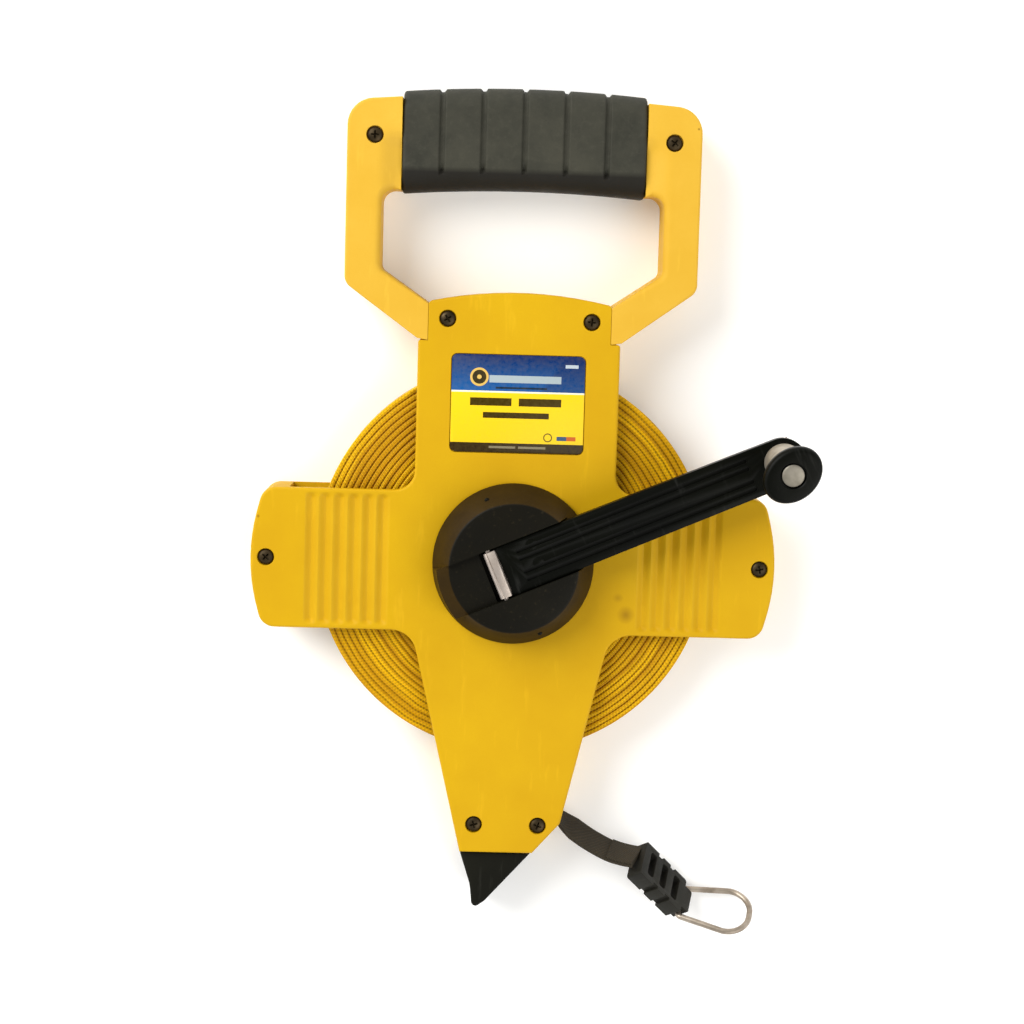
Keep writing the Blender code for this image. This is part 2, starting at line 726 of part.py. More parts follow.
def build_crank_strip(crank, knob):
    """The steel strip, rolled into an eye round the hinge pin."""
    knob_x = CRANK_R - HINGE_S
    bore_r = PIN_R + GAP / 2
    lower = -EYE_R
    upper = lower + STRIP_T
    outer_turn = [radians(-90 - 28.5 * k) for k in range(11)]
    eye_outer = [Vector((EYE_R * cos(a), EYE_R * sin(a))) for a in outer_turn]
    eye_inner = [Vector((bore_r * cos(a), bore_r * sin(a))) for a in reversed(outer_turn)]
    end_x = knob_x + 4.5 * MM
    inner_start = Vector((bore_r * cos(radians(-60)), upper))
    tail = [inner_start, Vector((end_x, upper)), Vector((end_x, lower))]
    profile = eye_outer + eye_inner[:-1] + tail
    bm = bmesh.new()
    sections = [[Vector((p.x, y, p.y)) for p in profile] for y in (-STRIP_W / 2, STRIP_W / 2)]
    loft_into(bm, sections)
    strip = add_object("crank_strip", bm, "steel", 35)
    strip.parent = crank
    hole = circle(0, 0, RIVET_SHANK_R + GAP, 20)
    hole_cut = prism_cutter("strip_rivet_hole", [hole], -6 * MM, MM)
    hole_cut.parent = knob
    boolean(strip, hole_cut)


def build_knob(crank, knob):
    """The neck and cap turn on a rivet that is fixed in the arm and leans a little."""
    base = NECK_R * sin(KNOB_LEAN_SIDE + KNOB_LEAN_IN) * 0.8 + GAP
    neck_top = base + NECK_H
    bore = RIVET_SHANK_R + GAP
    bm = bmesh.new()
    profile = [(bore, base), (NECK_R, base), (NECK_R, neck_top), (bore, neck_top)]
    turned_into(bm, profile, 32)
    neck = add_object("knob_neck", bm, "neck", 35)
    neck.parent = knob
    cap_low = neck_top + GAP
    cap_high = cap_low + CAP_T
    bm = bmesh.new()
    loft_into(bm, [cap_ring(z, shrink) for z, shrink in (
        (cap_low, 1.2 * MM),
        (cap_low + 1.2 * MM, 0.0),
        (cap_high - 1.0 * MM, 0.0),
        (cap_high, 0.9 * MM),
    )])
    cap = add_object("knob_cap", bm, "black", 40)
    head_low = cap_high - 1.6 * MM
    cuts = [prism_cutter("cap_bore", [circle(0, 0, bore, 20)], cap_low - MM, cap_high)]
    head_seat = [circle(0, 0, RIVET_R + GAP, 28)]
    cuts.append(prism_cutter("cap_head_seat", head_seat, head_low, cap_high + MM))
    cap.parent = knob
    for tool in cuts:
        tool.parent = knob
        boolean(cap, tool)
    rivet_foot = ARM_BOTTOM - ARM_TOP + 0.3 * MM
    heel = rivet_foot + 0.7 * MM
    profile = [
        (0, rivet_foot),
        (RIVET_R, rivet_foot),
        (RIVET_R, heel),
        (RIVET_SHANK_R, heel),
        (RIVET_SHANK_R, head_low + GAP),
        (RIVET_R, head_low + GAP),
        (RIVET_R, cap_high - 0.3 * MM),
        (RIVET_R - 0.7 * MM, cap_high + 0.2 * MM),
        (0, cap_high + 0.4 * MM),
    ]
    bm = bmesh.new()
    turned_into(bm, profile, 24)
    rivet = add_object("knob_rivet", bm, "steel", 35)
    rivet.parent = knob


def cap_ring(z, shrink, steps=32):
    """One level of the oval cap, whose long side leans off the arm's line."""
    lean = radians(20)
    ring = []
    for k in range(steps):
        a = 2 * pi * k / steps
        x = (CAP_HALF_LONG - shrink) * cos(a)
        y = (CAP_HALF_SHORT - shrink) * sin(a)
        ring.append(Vector((x * cos(lean) - y * sin(lean), x * sin(lean) + y * cos(lean), z)))
    return ring


# Tape run, leader, clip and ring.


def build_tape_run():
    """The straight stretch from the coil's edge to the mouth."""
    exit_point = TAPE_EXIT.to_2d()
    touch_r = COIL_R + 0.6 * MM
    bearing = atan2(exit_point.y, exit_point.x) - acos(touch_r / exit_point.length)
    start = touch_r * Vector((cos(bearing), sin(bearing)))
    along = (exit_point - start).normalized()
    across = Vector((-along.y, along.x)) * TAPE_T / 2
    end = exit_point - along * 2 * GAP
    outline = [start - across, end - across, end + across, start + across]
    z0 = (FRAME_T - TAPE_WIDTH) / 2
    prism("tape_run", outline, z0, z0 + TAPE_WIDTH, "tape")
    return along


def build_mouth_pin(along):
    """A dowel across the mouth, just under the tape."""
    radius = 1.2 * MM
    side = Vector((along.y, -along.x))
    place = TAPE_EXIT.to_2d() - along * 4.0 * MM + side * (radius + TAPE_T / 2 + GAP)
    ring = circle(place.x, place.y, radius, 16)
    prism("mouth_pin", ring, WALL + GAP, FRAME_T - WALL - GAP, "steel", 35)


def clip_axes():
    """Long, wide and thick directions of the clip as it lies on its edge."""
    along = CLIP_ALONG.normalized()
    wide = (CLIP_WIDE - along * CLIP_WIDE.dot(along)).normalized()
    return along, wide, along.cross(wide)


def clip_matrix():
    turn = Matrix(clip_axes()).transposed().to_4x4()
    return Matrix.Translation(CLIP_CENTRE) @ turn


def leader_route():
    """Points that the strap's middle line runs through, from the mouth to the clip."""
    along, _, thick = clip_axes()
    end = CLIP_CENTRE - along * (CLIP_SIZE.x / 2 + 3.0 * MM) - thick * 0.5 * MM
    return [
        TAPE_EXIT,
        Vector((20.7, -96.0, 12.0)) * MM,
        Vector((25.5, -99.8, 12.2)) * MM,
        Vector((31.6, -103.8, 12.7)) * MM,
        Vector((38.9, -107.4, 13.6)) * MM,
        Vector((44.2, -108.8, 14.6)) * MM,
        end,
    ]


def build_leader():
    """The strap: it leaves the mouth on edge and leans over a little towards the clip."""
    route = leader_route()
    wide = STRAP_LEAN.normalized()
    bm = bmesh.new()
    sections = []
    steps = 14
    upright = Vector((0, 0, 1))
    for k in range(steps + 1):
        t = k / steps
        place = along_route(route, t)
        ahead = (along_route(route, min(1, t + 0.02)) - along_route(route, max(0, t - 0.02))).normalized()
        edge = upright.lerp(wide, min(1.0, 3 * t))
        edge = (edge - ahead * edge.dot(ahead)).normalized() * TAPE_WIDTH / 2
        face = ahead.cross(edge).normalized() * STRAP_T / 2
        corners = [(-1, -1), (1, -1), (1, 1), (-1, 1)]
        sections.append([place + edge * a + face * b for a, b in corners])
    loft_into(bm, sections)
    add_object("leader_strap", bm, "strap", 30)


def along_route(points, t):
    """A point at t, from 0 to 1, on a smooth curve through every one of the points."""
    place = t * (len(points) - 1)
    i = min(int(place), len(points) - 2)
    u = place - i
    p1 = points[i]
    p2 = points[i + 1]
    p0 = points[i - 1] if i > 0 else p1 * 2 - p2
    p3 = points[i + 2] if i + 2 < len(points) else p2 * 2 - p1
    bend = p0 * 2 - p1 * 5 + p2 * 4 - p3
    twist = p1 * 3 - p0 - p2 * 3 + p3
    return p1 + ((p2 - p0) * u + bend * u ** 2 + twist * u ** 3) / 2


def build_clip():
    """A buckle with three slots for the strap and an eye for the ring."""
    x, y, z = CLIP_SIZE / 2
    corners = [
        (-x, -y, 0.9 * MM),
        (x, -y, 0.9 * MM),
        (x, -CLIP_NOSE_HALF, 0),
        (x + CLIP_NOSE, -CLIP_NOSE_HALF, 0.8 * MM),
        (x + CLIP_NOSE, CLIP_NOSE_HALF, 0.8 * MM),
        (x, CLIP_NOSE_HALF, 0),
        (x, y, 0.9 * MM),
        (-x, y, 0.9 * MM),
    ]
    clip = prism("end_clip", rounded(corners, 3), -z, z, "black")
    clip.matrix_world = clip_matrix()
    slots = [
        box_outline(-x + s - 1.7 * MM, -5.1 * MM, -x + s + 1.7 * MM, 5.1 * MM)
        for s in (5.2 * MM, 12.2 * MM, 19.2 * MM)
    ]
    notches = [
        box_outline(-x + s - 1.3 * MM, edge - 1.2 * MM, -x + s + 1.3 * MM, edge + 1.2 * MM)
        for s in (9.0 * MM, 16.0 * MM)
        for edge in (-y, y)
    ]
    bm = bmesh.new()
    for outline in slots + notches:
        prism_into(bm, outline, -z - MM, z + MM)
    slot_cut = cutter("clip_slots", bm)
    slot_cut.matrix_world = clip_matrix()
    boolean(clip, slot_cut)
    bm = bmesh.new()
    ring = circle(x + CLIP_EYE.x, CLIP_EYE.z, WIRE_R + GAP, 16)
    loft_into(bm, [[Vector((p.x, s * y, p.y)) for p in ring] for s in (-1, 1)])
    eye_cut = cutter("clip_eye", bm)
    eye_cut.matrix_world = clip_matrix()
    boolean(clip, eye_cut)


def ring_matrix():
    """The ring's own frame: Y along its hinge, X towards its round end."""
    along, wide, thick = clip_axes()
    reach = along * cos(RING_TURN) - thick * sin(RING_TURN)
    hinge = clip_matrix() @ (Vector((CLIP_SIZE.x / 2, 0, 0)) + CLIP_EYE)
    turn = Matrix((reach, wide, reach.cross(wide))).transposed().to_4x4()
    return Matrix.Translation(hinge) @ turn


def build_ring():
    """A closed loop of wire: a straight base in the clip's eye and a round far end."""
    bend = 1.6 * MM
    end_r = RING_FAR_HALF - 0.9 * MM
    corners = [
        (0, -RING_BASE_HALF, bend),
        (RING_REACH - end_r, -RING_FAR_HALF, 0),
        (RING_REACH, -RING_FAR_HALF, end_r),
        (RING_REACH, RING_FAR_HALF, end_r),
        (RING_REACH - end_r, RING_FAR_HALF, 0),
        (0, RING_BASE_HALF, bend),
    ]
    centre_line = rounded(corners, 7)
    bm = bmesh.new()
    count = len(centre_line)
    sides = 8
    rings = []
    for i, here in enumerate(centre_line):
        ahead = (centre_line[(i + 1) % count] - centre_line[i - 1]).normalized()
        out = Vector((ahead.y, -ahead.x, 0))
        up = Vector((0, 0, 1))
        place = Vector((here.x, here.y, 0))
        angles = [2 * pi * k / sides for k in range(sides)]
        spokes = [out * cos(a) + up * sin(a) for a in angles]
        rings.append([bm.verts.new(place + WIRE_R * spoke) for spoke in spokes])
    for a, b in zip(rings, rings[1:] + rings[:1]):
        for k in range(sides):
            j = (k + 1) % sides
            bm.faces.new((a[k], a[j], b[j], b[k]))
    ring = add_object("hook_ring", bm, "steel", 60)
    ring.matrix_world = ring_matrix()


def main():
    clear_scene()
    build_front_frame()
    build_rear_frame()
    build_label()
    build_frame_screws()
    build_spike()
    build_handle()
    build_grip()
    build_thrust_washer()
    reel = add_group("reel_axis", (0, 0, 0), turn=CRANK_ANGLE)
    build_drum(reel)
    build_coil(reel)
    build_hub(reel)
    build_hinge_pin(reel)
    crank = add_group("crank_hinge", (HINGE_S, 0, HINGE_Z), parent=reel)
    knob = add_group("knob_axis", (CRANK_R - HINGE_S, 0, ARM_TOP), parent=crank)
    knob.rotation_euler = (KNOB_LEAN_SIDE, -KNOB_LEAN_IN, 0.0)
    build_crank_arm(crank, knob)
    build_crank_strip(crank, knob)
    build_knob(crank, knob)
    build_mouth_pin(build_tape_run())
    build_leader()
    build_clip()
    build_ring()


main()
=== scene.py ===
"""Looks of the surveyor's tape reel: fine surfaces, materials, light and camera round the CAD frame."""
from random import Random
from math import acos, asin, atan2, cos, pi, radians, sin, sqrt, tan

import bmesh
import bpy
from mathutils import Matrix, Vector
from mathutils.geometry import delaunay_2d_cdt


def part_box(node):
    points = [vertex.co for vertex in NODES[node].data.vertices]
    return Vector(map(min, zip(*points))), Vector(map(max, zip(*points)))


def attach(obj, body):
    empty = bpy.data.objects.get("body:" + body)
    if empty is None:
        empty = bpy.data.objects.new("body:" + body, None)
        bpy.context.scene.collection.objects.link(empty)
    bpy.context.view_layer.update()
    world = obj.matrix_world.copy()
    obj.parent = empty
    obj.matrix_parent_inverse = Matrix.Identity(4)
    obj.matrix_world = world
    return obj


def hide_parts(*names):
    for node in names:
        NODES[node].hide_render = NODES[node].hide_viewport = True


MM = 0.001


def mm(*values):
    """Lengths in millimetres, as metres."""
    return tuple(value * MM for value in values)


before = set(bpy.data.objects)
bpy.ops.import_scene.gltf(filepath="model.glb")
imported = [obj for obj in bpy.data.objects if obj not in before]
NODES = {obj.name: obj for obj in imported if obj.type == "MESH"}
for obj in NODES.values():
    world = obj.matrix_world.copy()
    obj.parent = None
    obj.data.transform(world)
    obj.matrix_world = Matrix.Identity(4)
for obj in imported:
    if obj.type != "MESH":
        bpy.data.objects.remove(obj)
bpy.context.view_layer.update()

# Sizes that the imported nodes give, clearances, and how the coil is wound.
FRAME_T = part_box("front_frame")[1].z
MID = FRAME_T / 2
COIL_LOW, COIL_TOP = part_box("tape_coil")[0].z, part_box("tape_coil")[1].z
COIL_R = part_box("tape_coil")[1].x
HUB_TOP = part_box("crank_hub")[1].z
GAP, HALF_GAP, TURN_PITCH = mm(0.3, 0.15, 0.51)
COIL_DRIFT = Vector((-0.5, 0.9)) * MM
COIL_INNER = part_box("drum")[1].x + GAP
COIL_OUTER = COIL_R - COIL_DRIFT.length
GROUP_TURNS = 4
STITCHES = 330

# Frame: walls, the outline's places and corner radii, edges, waves.
WALL, EDGE_WALL, GATE_LOW, LABEL_BAY, LABEL_R = mm(2.6, 2.4, 4.6, 0.8, 2.0)
ARM_HALF, ARM_REACH, ARM_BOW_R, ARM_WINDOW = mm(25.4, 94.5, 68.0, 81.0)
ARM_CORNER_R, ARM_ROOT_R, FOOT_ROOT_R, TAB_CORNER_R = mm(6, 7.3, 9.5, 1.4)
FOOT_ROOT_X, COLUMN_HALF, SHOULDER_Y = mm(36.0, 36.1, 79.3)
TAB_HALF, TAB_CORNER_Y, TAB_TOP_Y = mm(32.6, 93.2, 96.9)
FOOT_Y, FOOT_LEFT, FOOT_RIGHT = mm(-106.6, -16.6, 9.9)
TANG_LEFT, TANG_RIGHT, TANG_DEPTH = mm(-8.6, 5.6, 4)
TONGUE_IN, TONGUE_OUT, TONGUE_LOW, TONGUE_HIGH = mm(29.0, 35.0, 5.8, 5.0)
MOUTH_CORNER = mm(19.8, -95.4)
MOUTH_BOX = mm(15.5, -98.4, 24, -88.6)
COIL_ROOM, SIDE_SCREW_X = mm(75.2, 89.0)
TOP_SCREW, FOOT_SCREW = mm(25.7, 87.2), mm(11.65, -96.3)
FACE_FILLET, HAND_FILLET, SEAM_FILLET, FILLET_RIM, SEAM = mm(0.9, 2.2, 0.2, 0.3, 0.1)
FILLET_STEPS = 5
WAVE_FIRST, WAVE_PITCH, WAVE_DEPTH = mm(47.1, 5.15, 1.3)
WAVE_REACH_Y, WAVE_FADE = mm(24.1, 2.0)
WAVE_ROWS = mm(-24.0, -23.6, -23.1, -22.6, -22.1, -21.5, -18, -12, -6, 0)
WAVE_COUNT = 6
GRID_STEP = 5
COLUMN_GRID_HALF, FOOT_GRID_TOP = mm(28, -20)

# Screws.
SCREW_HEAD_R, SCREW_HEAD_H, SCREW_BODY_R, SCREW_BODY_L = mm(2.75, 1.7, 1.3, 4)
CROSS_LONG, CROSS_SHORT = mm(1.6, 0.34)
RECESS_R, RECESS_DEPTH, RECESS_LIP = mm(3.05, 2.0, 0.4)

# Hub.
CRANK_ANGLE = radians(23.2)
HUB_R, HUB_TOP_R, REST_TOP_R, JOURNAL_R = mm(29.0, 22.9, 27.2, 20.0)
HUB_BASE = FRAME_T + GAP
HUB_RIM_Z = HUB_BASE + 1.9 * MM
GROOVE_HALF, DEEP_START, HINGE_S = mm(9.45, 3.4, -6.4)
PLATEAU_Z = HUB_TOP - 2.4 * MM
GROOVE_FLOOR = HUB_TOP - 6.6 * MM
HINGE_Z = HUB_TOP - 1.9 * MM
PIP_R, PIP_PLACE_R = mm(0.9, 25.6)
PIP_RISE = 0.6

# Crank and its strip.
CRANK_R, ARM_W_HUB, ARM_W_END = mm(102.3, 18.2, 16.9)
ARM_START, ARM_TOP, ARM_BOTTOM = mm(2.8, 0.4, -4.2)
FLUTE_START, FLUTE_END, FLUTE_HALF, FLUTE_DEPTH = mm(9.3, 96.8, 0.8, 0.95)
FLUTE_ROWS = mm(-5.4, -2.5, 2.3, 5.2)
MARK_X, MARK_OUTER_R, MARK_INNER_R, MARK_DEPTH = mm(15.3, 2.1, 1.9, 0.06)
MARK_ROWS = mm(5.7, -1.3)
STRIP_T, STRIP_W, PIN_R = mm(0.8, 15.4, 0.9)
EYE_R, EYE_BACK, EYE_FRONT, EYE_HALF_W = mm(1.9, -1.9, 2.5, 8.6)

# Knob. The cap's rows are a height and how far the row is drawn in, in millimetres.
NECK_R, NECK_H, NECK_FLARE = mm(6.85, 22.0, 0.35)
CAP_T, CAP_HALF_LONG, CAP_HALF_SHORT = mm(5.0, 11.0, 8.85)
CAP_ROWS = [
    (0, 1.6), (0.25, 1.0), (0.8, 0.35), (1.5, 0.0), (3.2, 0.0),
    (3.9, 0.15), (4.5, 0.55), (4.85, 1.1), (5.0, 1.9),
]
RIVET_R, RIVET_HEAD, SHANK_R, RIVET_FOOT = mm(3.8, 1.6, 2.2, 0.7)
CAP_LEAN, KNOB_LEAN_SIDE, KNOB_LEAN_IN = (radians(angle) for angle in (20, 4.5, 2.5))

# Handle and grip.
LEG_OUTER, LEG_OUTER_Y, LEG_INNER, LEG_INNER_Y = mm(62.8, 98.9, 50.2, 104.4)
HANDLE_FOOT, FOOT_INNER_Y = mm(36.5, 80.0), 92.4 * MM
HAND_TOP_Y, HANDLE_TOP_Y = mm(132.2, 164.7)
BAR_LOW_Y, BAR_HIGH_Y, BAR_MARGIN = mm(136.5, 161.0, 4.5)
SADDLE_X, SADDLE_BLEND, SADDLE_DEPTH = mm(52.0, 8.5, 2.4)
SADDLE_LOW_Y, SADDLE_HIGH_Y, HOLE_LOW_Y = mm(126, 153, 94)
GRIP_HALF, GRIP_END_LOW, GRIP_END_HIGH = mm(43.2, 131.2, 167.2)
GRIP_CROWN, GRIP_SKIN, GRIP_LOW_R, GRIP_HIGH_R = mm(1.9, 0.6, 8.4, 7.6)
GRIP_END_TURN, GRIP_END_SINK = mm(1.2, 0.9)
GRIP_GROOVES = mm(-29.3, -14.7, 0.0, 14.7, 29.3)
GRIP_GROOVE_W, GRIP_GROOVE_D, GRIP_NOTCH_D, GRIP_BAND = mm(2.4, 1.0, 1.0, 6.2)
HANDLE_SCREW = mm(53.0, 151.2)

# The spike's own corners: x, y and radius.
SPIKE_MARGIN = 3.0 * MM
SPIKE_CORNERS = [mm(-12.5, -119.5, 12), mm(-11.5, -129.0, 1.6), mm(-7.0, -125.8, 3)]

# Leader, clip and ring.
TAPE_WIDTH, TAPE_T, TAPE_HIDDEN, STRAP_T = mm(13.0, 0.5, 12.0, 1.1)
TAPE_EXIT = Vector((18.4, -92.6, 12.0)) * MM
LEADER_BENDS = [
    mm(20.7, -96.0, 12.0), mm(25.5, -99.8, 12.2), mm(31.6, -103.8, 12.7), mm(38.9, -107.4, 13.6),
    mm(44.2, -108.8, 14.6),
]
STRAP_LEAN = Vector((-0.31, -0.32, 0.90))
FOLD_FROM, FOLD_OFFSET, FOLD_T, FOLD_INSET = 0.66, *mm(-0.9, 0.7, 0.8)
CLIP_SIZE = Vector((24.5, 15.0, 6.6)) * MM
CLIP_ALONG = Vector((0.652, -0.685, -0.326))
CLIP_WIDE = Vector((-0.208, -0.575, 0.791))
CLIP_CENTRE = Vector((57.1, -118.2, 12.1)) * MM
CLIP_NOSE, CLIP_NOSE_HALF, CLIP_CORNER_R = mm(4.0, 4.9, 0.9)
CLIP_EYE = Vector((2.2, 0.0, 0.0)) * MM
SLOT_PLACES, SLOT_HALF, SLOT_REACH = mm(5.2, 12.2, 19.2), *mm(1.7, 5.1)
NOTCH_PLACES, NOTCH_HALF, NOTCH_DEPTH = mm(9.0, 16.0), *mm(1.3, 1.2)
WIRE_R, RING_BASE_HALF, RING_FAR_HALF, RING_REACH, RING_BEND = mm(1.1, 6.5, 9.5, 26.0, 1.6)
RING_TURN = radians(48.0)

# The label's plain marks in millimetres: x from, to, y from, to, and colour.
LABEL_BARS = [
    (-10.3, 15.4, 64.9, 67.5, (160, 174, 180)),
    (-8.0, 10.4, 62.7, 63.4, (16, 38, 60)),
    (16.8, 21.4, 70.6, 71.8, (180, 190, 200)),
    (-17.0, -2.2, 56.6, 59.4, (58, 44, 4)),
    (0.4, 15.6, 56.6, 59.4, (58, 44, 4)),
    (-12.3, 11.3, 52.2, 54.3, (54, 40, 4)),
    (14.3, 17.8, 44.6, 46.1, (50, 80, 116)),
    (17.8, 21.1, 44.6, 46.1, (196, 92, 30)),
    (-9.9, -0.4, 41.4, 42.2, (132, 122, 98)),
    (0.6, 10.4, 41.4, 42.2, (132, 122, 98)),
]
# The rings' centre x and y, radii from and to, and colour.
LABEL_RINGS = [
    (-13.9, 66.8, 0.0, 3.3, (214, 176, 92)),
    (-13.9, 66.8, 0.8, 2.5, (48, 40, 22)),
    (11.1, 45.6, 1.2, 1.6, (96, 78, 20)),
]
# Where the label's bands end, from the top: the blue, the pale line and the yellow.
BLUE_LOW, LINE_LOW, YELLOW_LOW = 61.9, 61.3, 43.3

# Small dirty marks: x, y, half width and half height, and strength.
FRAME_MARKS = [
    (*mm(41.3, -17.7, 4.0, 4.2), 0.6),
    (*mm(38.2, -11.6, 2.6, 2.2), 0.35),
    (*mm(-91.9, 14.7, 0.9, 0.9), 0.8),
]
HANDLE_MARKS = [(*mm(61.3, 156.3, 0.6, 0.6), 0.95)]

# Studio. The camera's place is in millimetres.
FLOOR_REACH = 1.3
FLOOR_GLOW = 0.12
SKY_LOW, SKY_TOP = 1.0, 0.08
LIGHT_TINT = (1.0, 0.99, 0.95)
LIGHTS = [
    ("key", (-0.95, 0.75, 0.95), (0, 0.02, 0), 1.2, 23.0),
    ("fill", (0.80, -0.50, 1.15), (0, 0, 0), 1.4, 12.0),
]
LENS, SENSOR = 78.1, 36.0
CAMERA_PLACE = (-16.39, 101.05, 817.64)
CAMERA_RIGHT = Vector((0.99946, 0.02853, 0.01656))
CAMERA_UP = Vector((-0.02666, 0.99424, -0.10382))
CAMERA_BACK = Vector((-0.01942, 0.10332, 0.99446))


# Outlines.


def rounded(corners, steps=8):
    """A closed outline through (x, y, radius) corners, each rounded by an arc."""
    points = []
    count = len(corners)
    for i, (x, y, radius) in enumerate(corners):
        here = Vector((x, y))
        if radius == 0:
            points.append(here)
            continue
        back = (Vector(corners[i - 1][:2]) - here).normalized()
        ahead = (Vector(corners[(i + 1) % count][:2]) - here).normalized()
        half = acos(max(-1.0, min(1.0, back.dot(ahead)))) / 2
        centre = here + (back + ahead).normalized() * (radius / sin(half))
        reach = radius / tan(half)
        first = here + back * reach - centre
        last = here + ahead * reach - centre
        a0 = atan2(first.y, first.x)
        turn = (atan2(last.y, last.x) - a0 + pi) % (2 * pi) - pi
        for k in range(steps + 1):
            a = a0 + turn * k / steps
            points.append(centre + radius * Vector((cos(a), sin(a))))
    return points


def inset(points, distances):
    """A counter-clockwise outline moved inwards, by one distance or by one for each point."""
    moved = []
    count = len(points)
    if isinstance(distances, float):
        distances = [distances] * count
    for i, (here, distance) in enumerate(zip(points, distances)):
        before = (here - points[i - 1]).normalized()
        after = (points[(i + 1) % count] - here).normalized()
        normal = Vector((-before.y - after.y, before.x + after.x)).normalized()
        stretch = max(0.5, normal.dot(Vector((-before.y, before.x))))
        moved.append(here + normal * distance / stretch)
    return moved


def circle(x, y, radius, steps):
    angles = [2 * pi * k / steps for k in range(steps)]
    return [Vector((x + radius * cos(a), y + radius * sin(a))) for a in angles]


def box_outline(x0, y0, x1, y1):
    return [Vector((x0, y0)), Vector((x1, y0)), Vector((x1, y1)), Vector((x0, y1))]


def rounded_box(x0, y0, x1, y1, radius, steps=8):
    return rounded([(x0, y0, radius), (x1, y0, radius), (x1, y1, radius), (x0, y1, radius)], steps)


def mirrored(corners):
    """The same corners on the other side, in reverse order."""
    return [(-x, y, r) for x, y, r in reversed(corners)]


def both_sides(place):
    """A place and its mirror image."""
    return [place, (-place[0], place[1])]


def smooth_step(value):
    t = max(0.0, min(1.0, value))
    return t * t * (3 - 2 * t)


# Meshes.


def add_object(name, data, matrix=None):
    obj = bpy.data.objects.new(name, data)
    bpy.context.scene.collection.objects.link(obj)
    if matrix is not None:
        obj.matrix_world = matrix
    return obj


def add_piece(name, bm, matrix=None):
    bmesh.ops.recalc_face_normals(bm, faces=bm.faces)
    mesh = bpy.data.meshes.new(name)
    bm.to_mesh(mesh)
    bm.free()
    return add_object(name, mesh, matrix)


def lift(outline, z):
    """A flat outline as a ring of points at one height."""
    return [Vector((p.x, p.y, z)) for p in outline]


def band(bm, a, b):
    """The side between two rings of vertices."""
    for i in range(len(a)):
        j = (i + 1) % len(a)
        bm.faces.new((a[i], a[j], b[j], b[i]))


def prisms(outlines, z0, z1):
    """Straight prisms on flat outlines, in one mesh."""
    bm = bmesh.new()
    for outline in outlines:
        low, high = ([bm.verts.new(p) for p in lift(outline, z)] for z in (z0, z1))
        bm.faces.new(list(reversed(low)))
        bm.faces.new(high)
        band(bm, low, high)
    return bm


def loft(sections, closed=False):
    """A solid through rings of points with equal counts, or a closed loop of them."""
    bm = bmesh.new()
    rings = [[bm.verts.new(p) for p in ring] for ring in sections]
    for a, b in zip(rings, rings[1:] + rings[:1] if closed else rings[1:]):
        band(bm, a, b)
    if not closed:
        bm.faces.new(list(reversed(rings[0])))
        bm.faces.new(rings[-1])
    return bm


def side_prism(outline, half_width):
    """A prism whose outline is in the XZ plane and whose width is along Y."""
    return loft([[Vector((p.x, y, p.y)) for p in outline] for y in (-half_width, half_width)])


def turned(profile, steps, centres=((0.0, 0.0),)):
    """Solids of revolution about Z from a closed (radius, z) profile, one at each centre."""
    bm = bmesh.new()
    for cx, cy in centres:
        rings = []
        for radius, z in profile:
            flat = circle(cx, cy, radius, steps) if radius else [Vector((cx, cy))]
            rings.append([bm.verts.new(p) for p in lift(flat, z)])
        for a, b in zip(rings, rings[1:] + rings[:1]):
            if len(a) == len(b) == 1:
                continue
            for i in range(steps):
                j = (i + 1) % steps
                corners = [a[i % len(a)], a[j % len(a)], b[j % len(b)], b[i % len(b)]]
                bm.faces.new(list(dict.fromkeys(corners)))
    return bm


def bake(obj):
    """Applies the object's modifiers to its mesh."""
    depsgraph = bpy.context.evaluated_depsgraph_get()
    mesh = bpy.data.meshes.new_from_object(obj.evaluated_get(depsgraph))
    obj.modifiers.clear()
    obj.data = mesh


def carve(obj, tools, operation="DIFFERENCE"):
    """Cuts each mesh out of the piece, or joins it on."""
    helpers = []
    for number, bm in enumerate(tools):
        helper = add_piece(f"{obj.name}_tool_{number}", bm, obj.matrix_world)
        helper.hide_render = True
        modifier = obj.modifiers.new("cut", "BOOLEAN")
        modifier.operation = operation
        modifier.solver = "EXACT"
        modifier.object = helper
        helpers.append(helper)
    bake(obj)
    for helper in helpers:
        bpy.data.objects.remove(helper)


def soften(obj, width, segments=2, angle=35):
    """Rounds the sharp edges a little, as moulding leaves them."""
    modifier = obj.modifiers.new("soft_edges", "BEVEL")
    modifier.width = width
    modifier.segments = segments
    modifier.limit_method = "ANGLE"
    modifier.angle_limit = radians(angle)
    bake(obj)


def smooth(obj, angle=35):
    obj.data.shade_smooth()
    obj.data.set_sharp_from_angle(angle=radians(angle))


def dress(obj, body, nodes, look, angle=35):
    """Puts a finished piece on its body, in place of its CAD nodes."""
    smooth(obj, angle)
    obj.data.materials.clear()
    obj.data.materials.append(look)
    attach(obj, body)
    if nodes:
        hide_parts(*nodes)


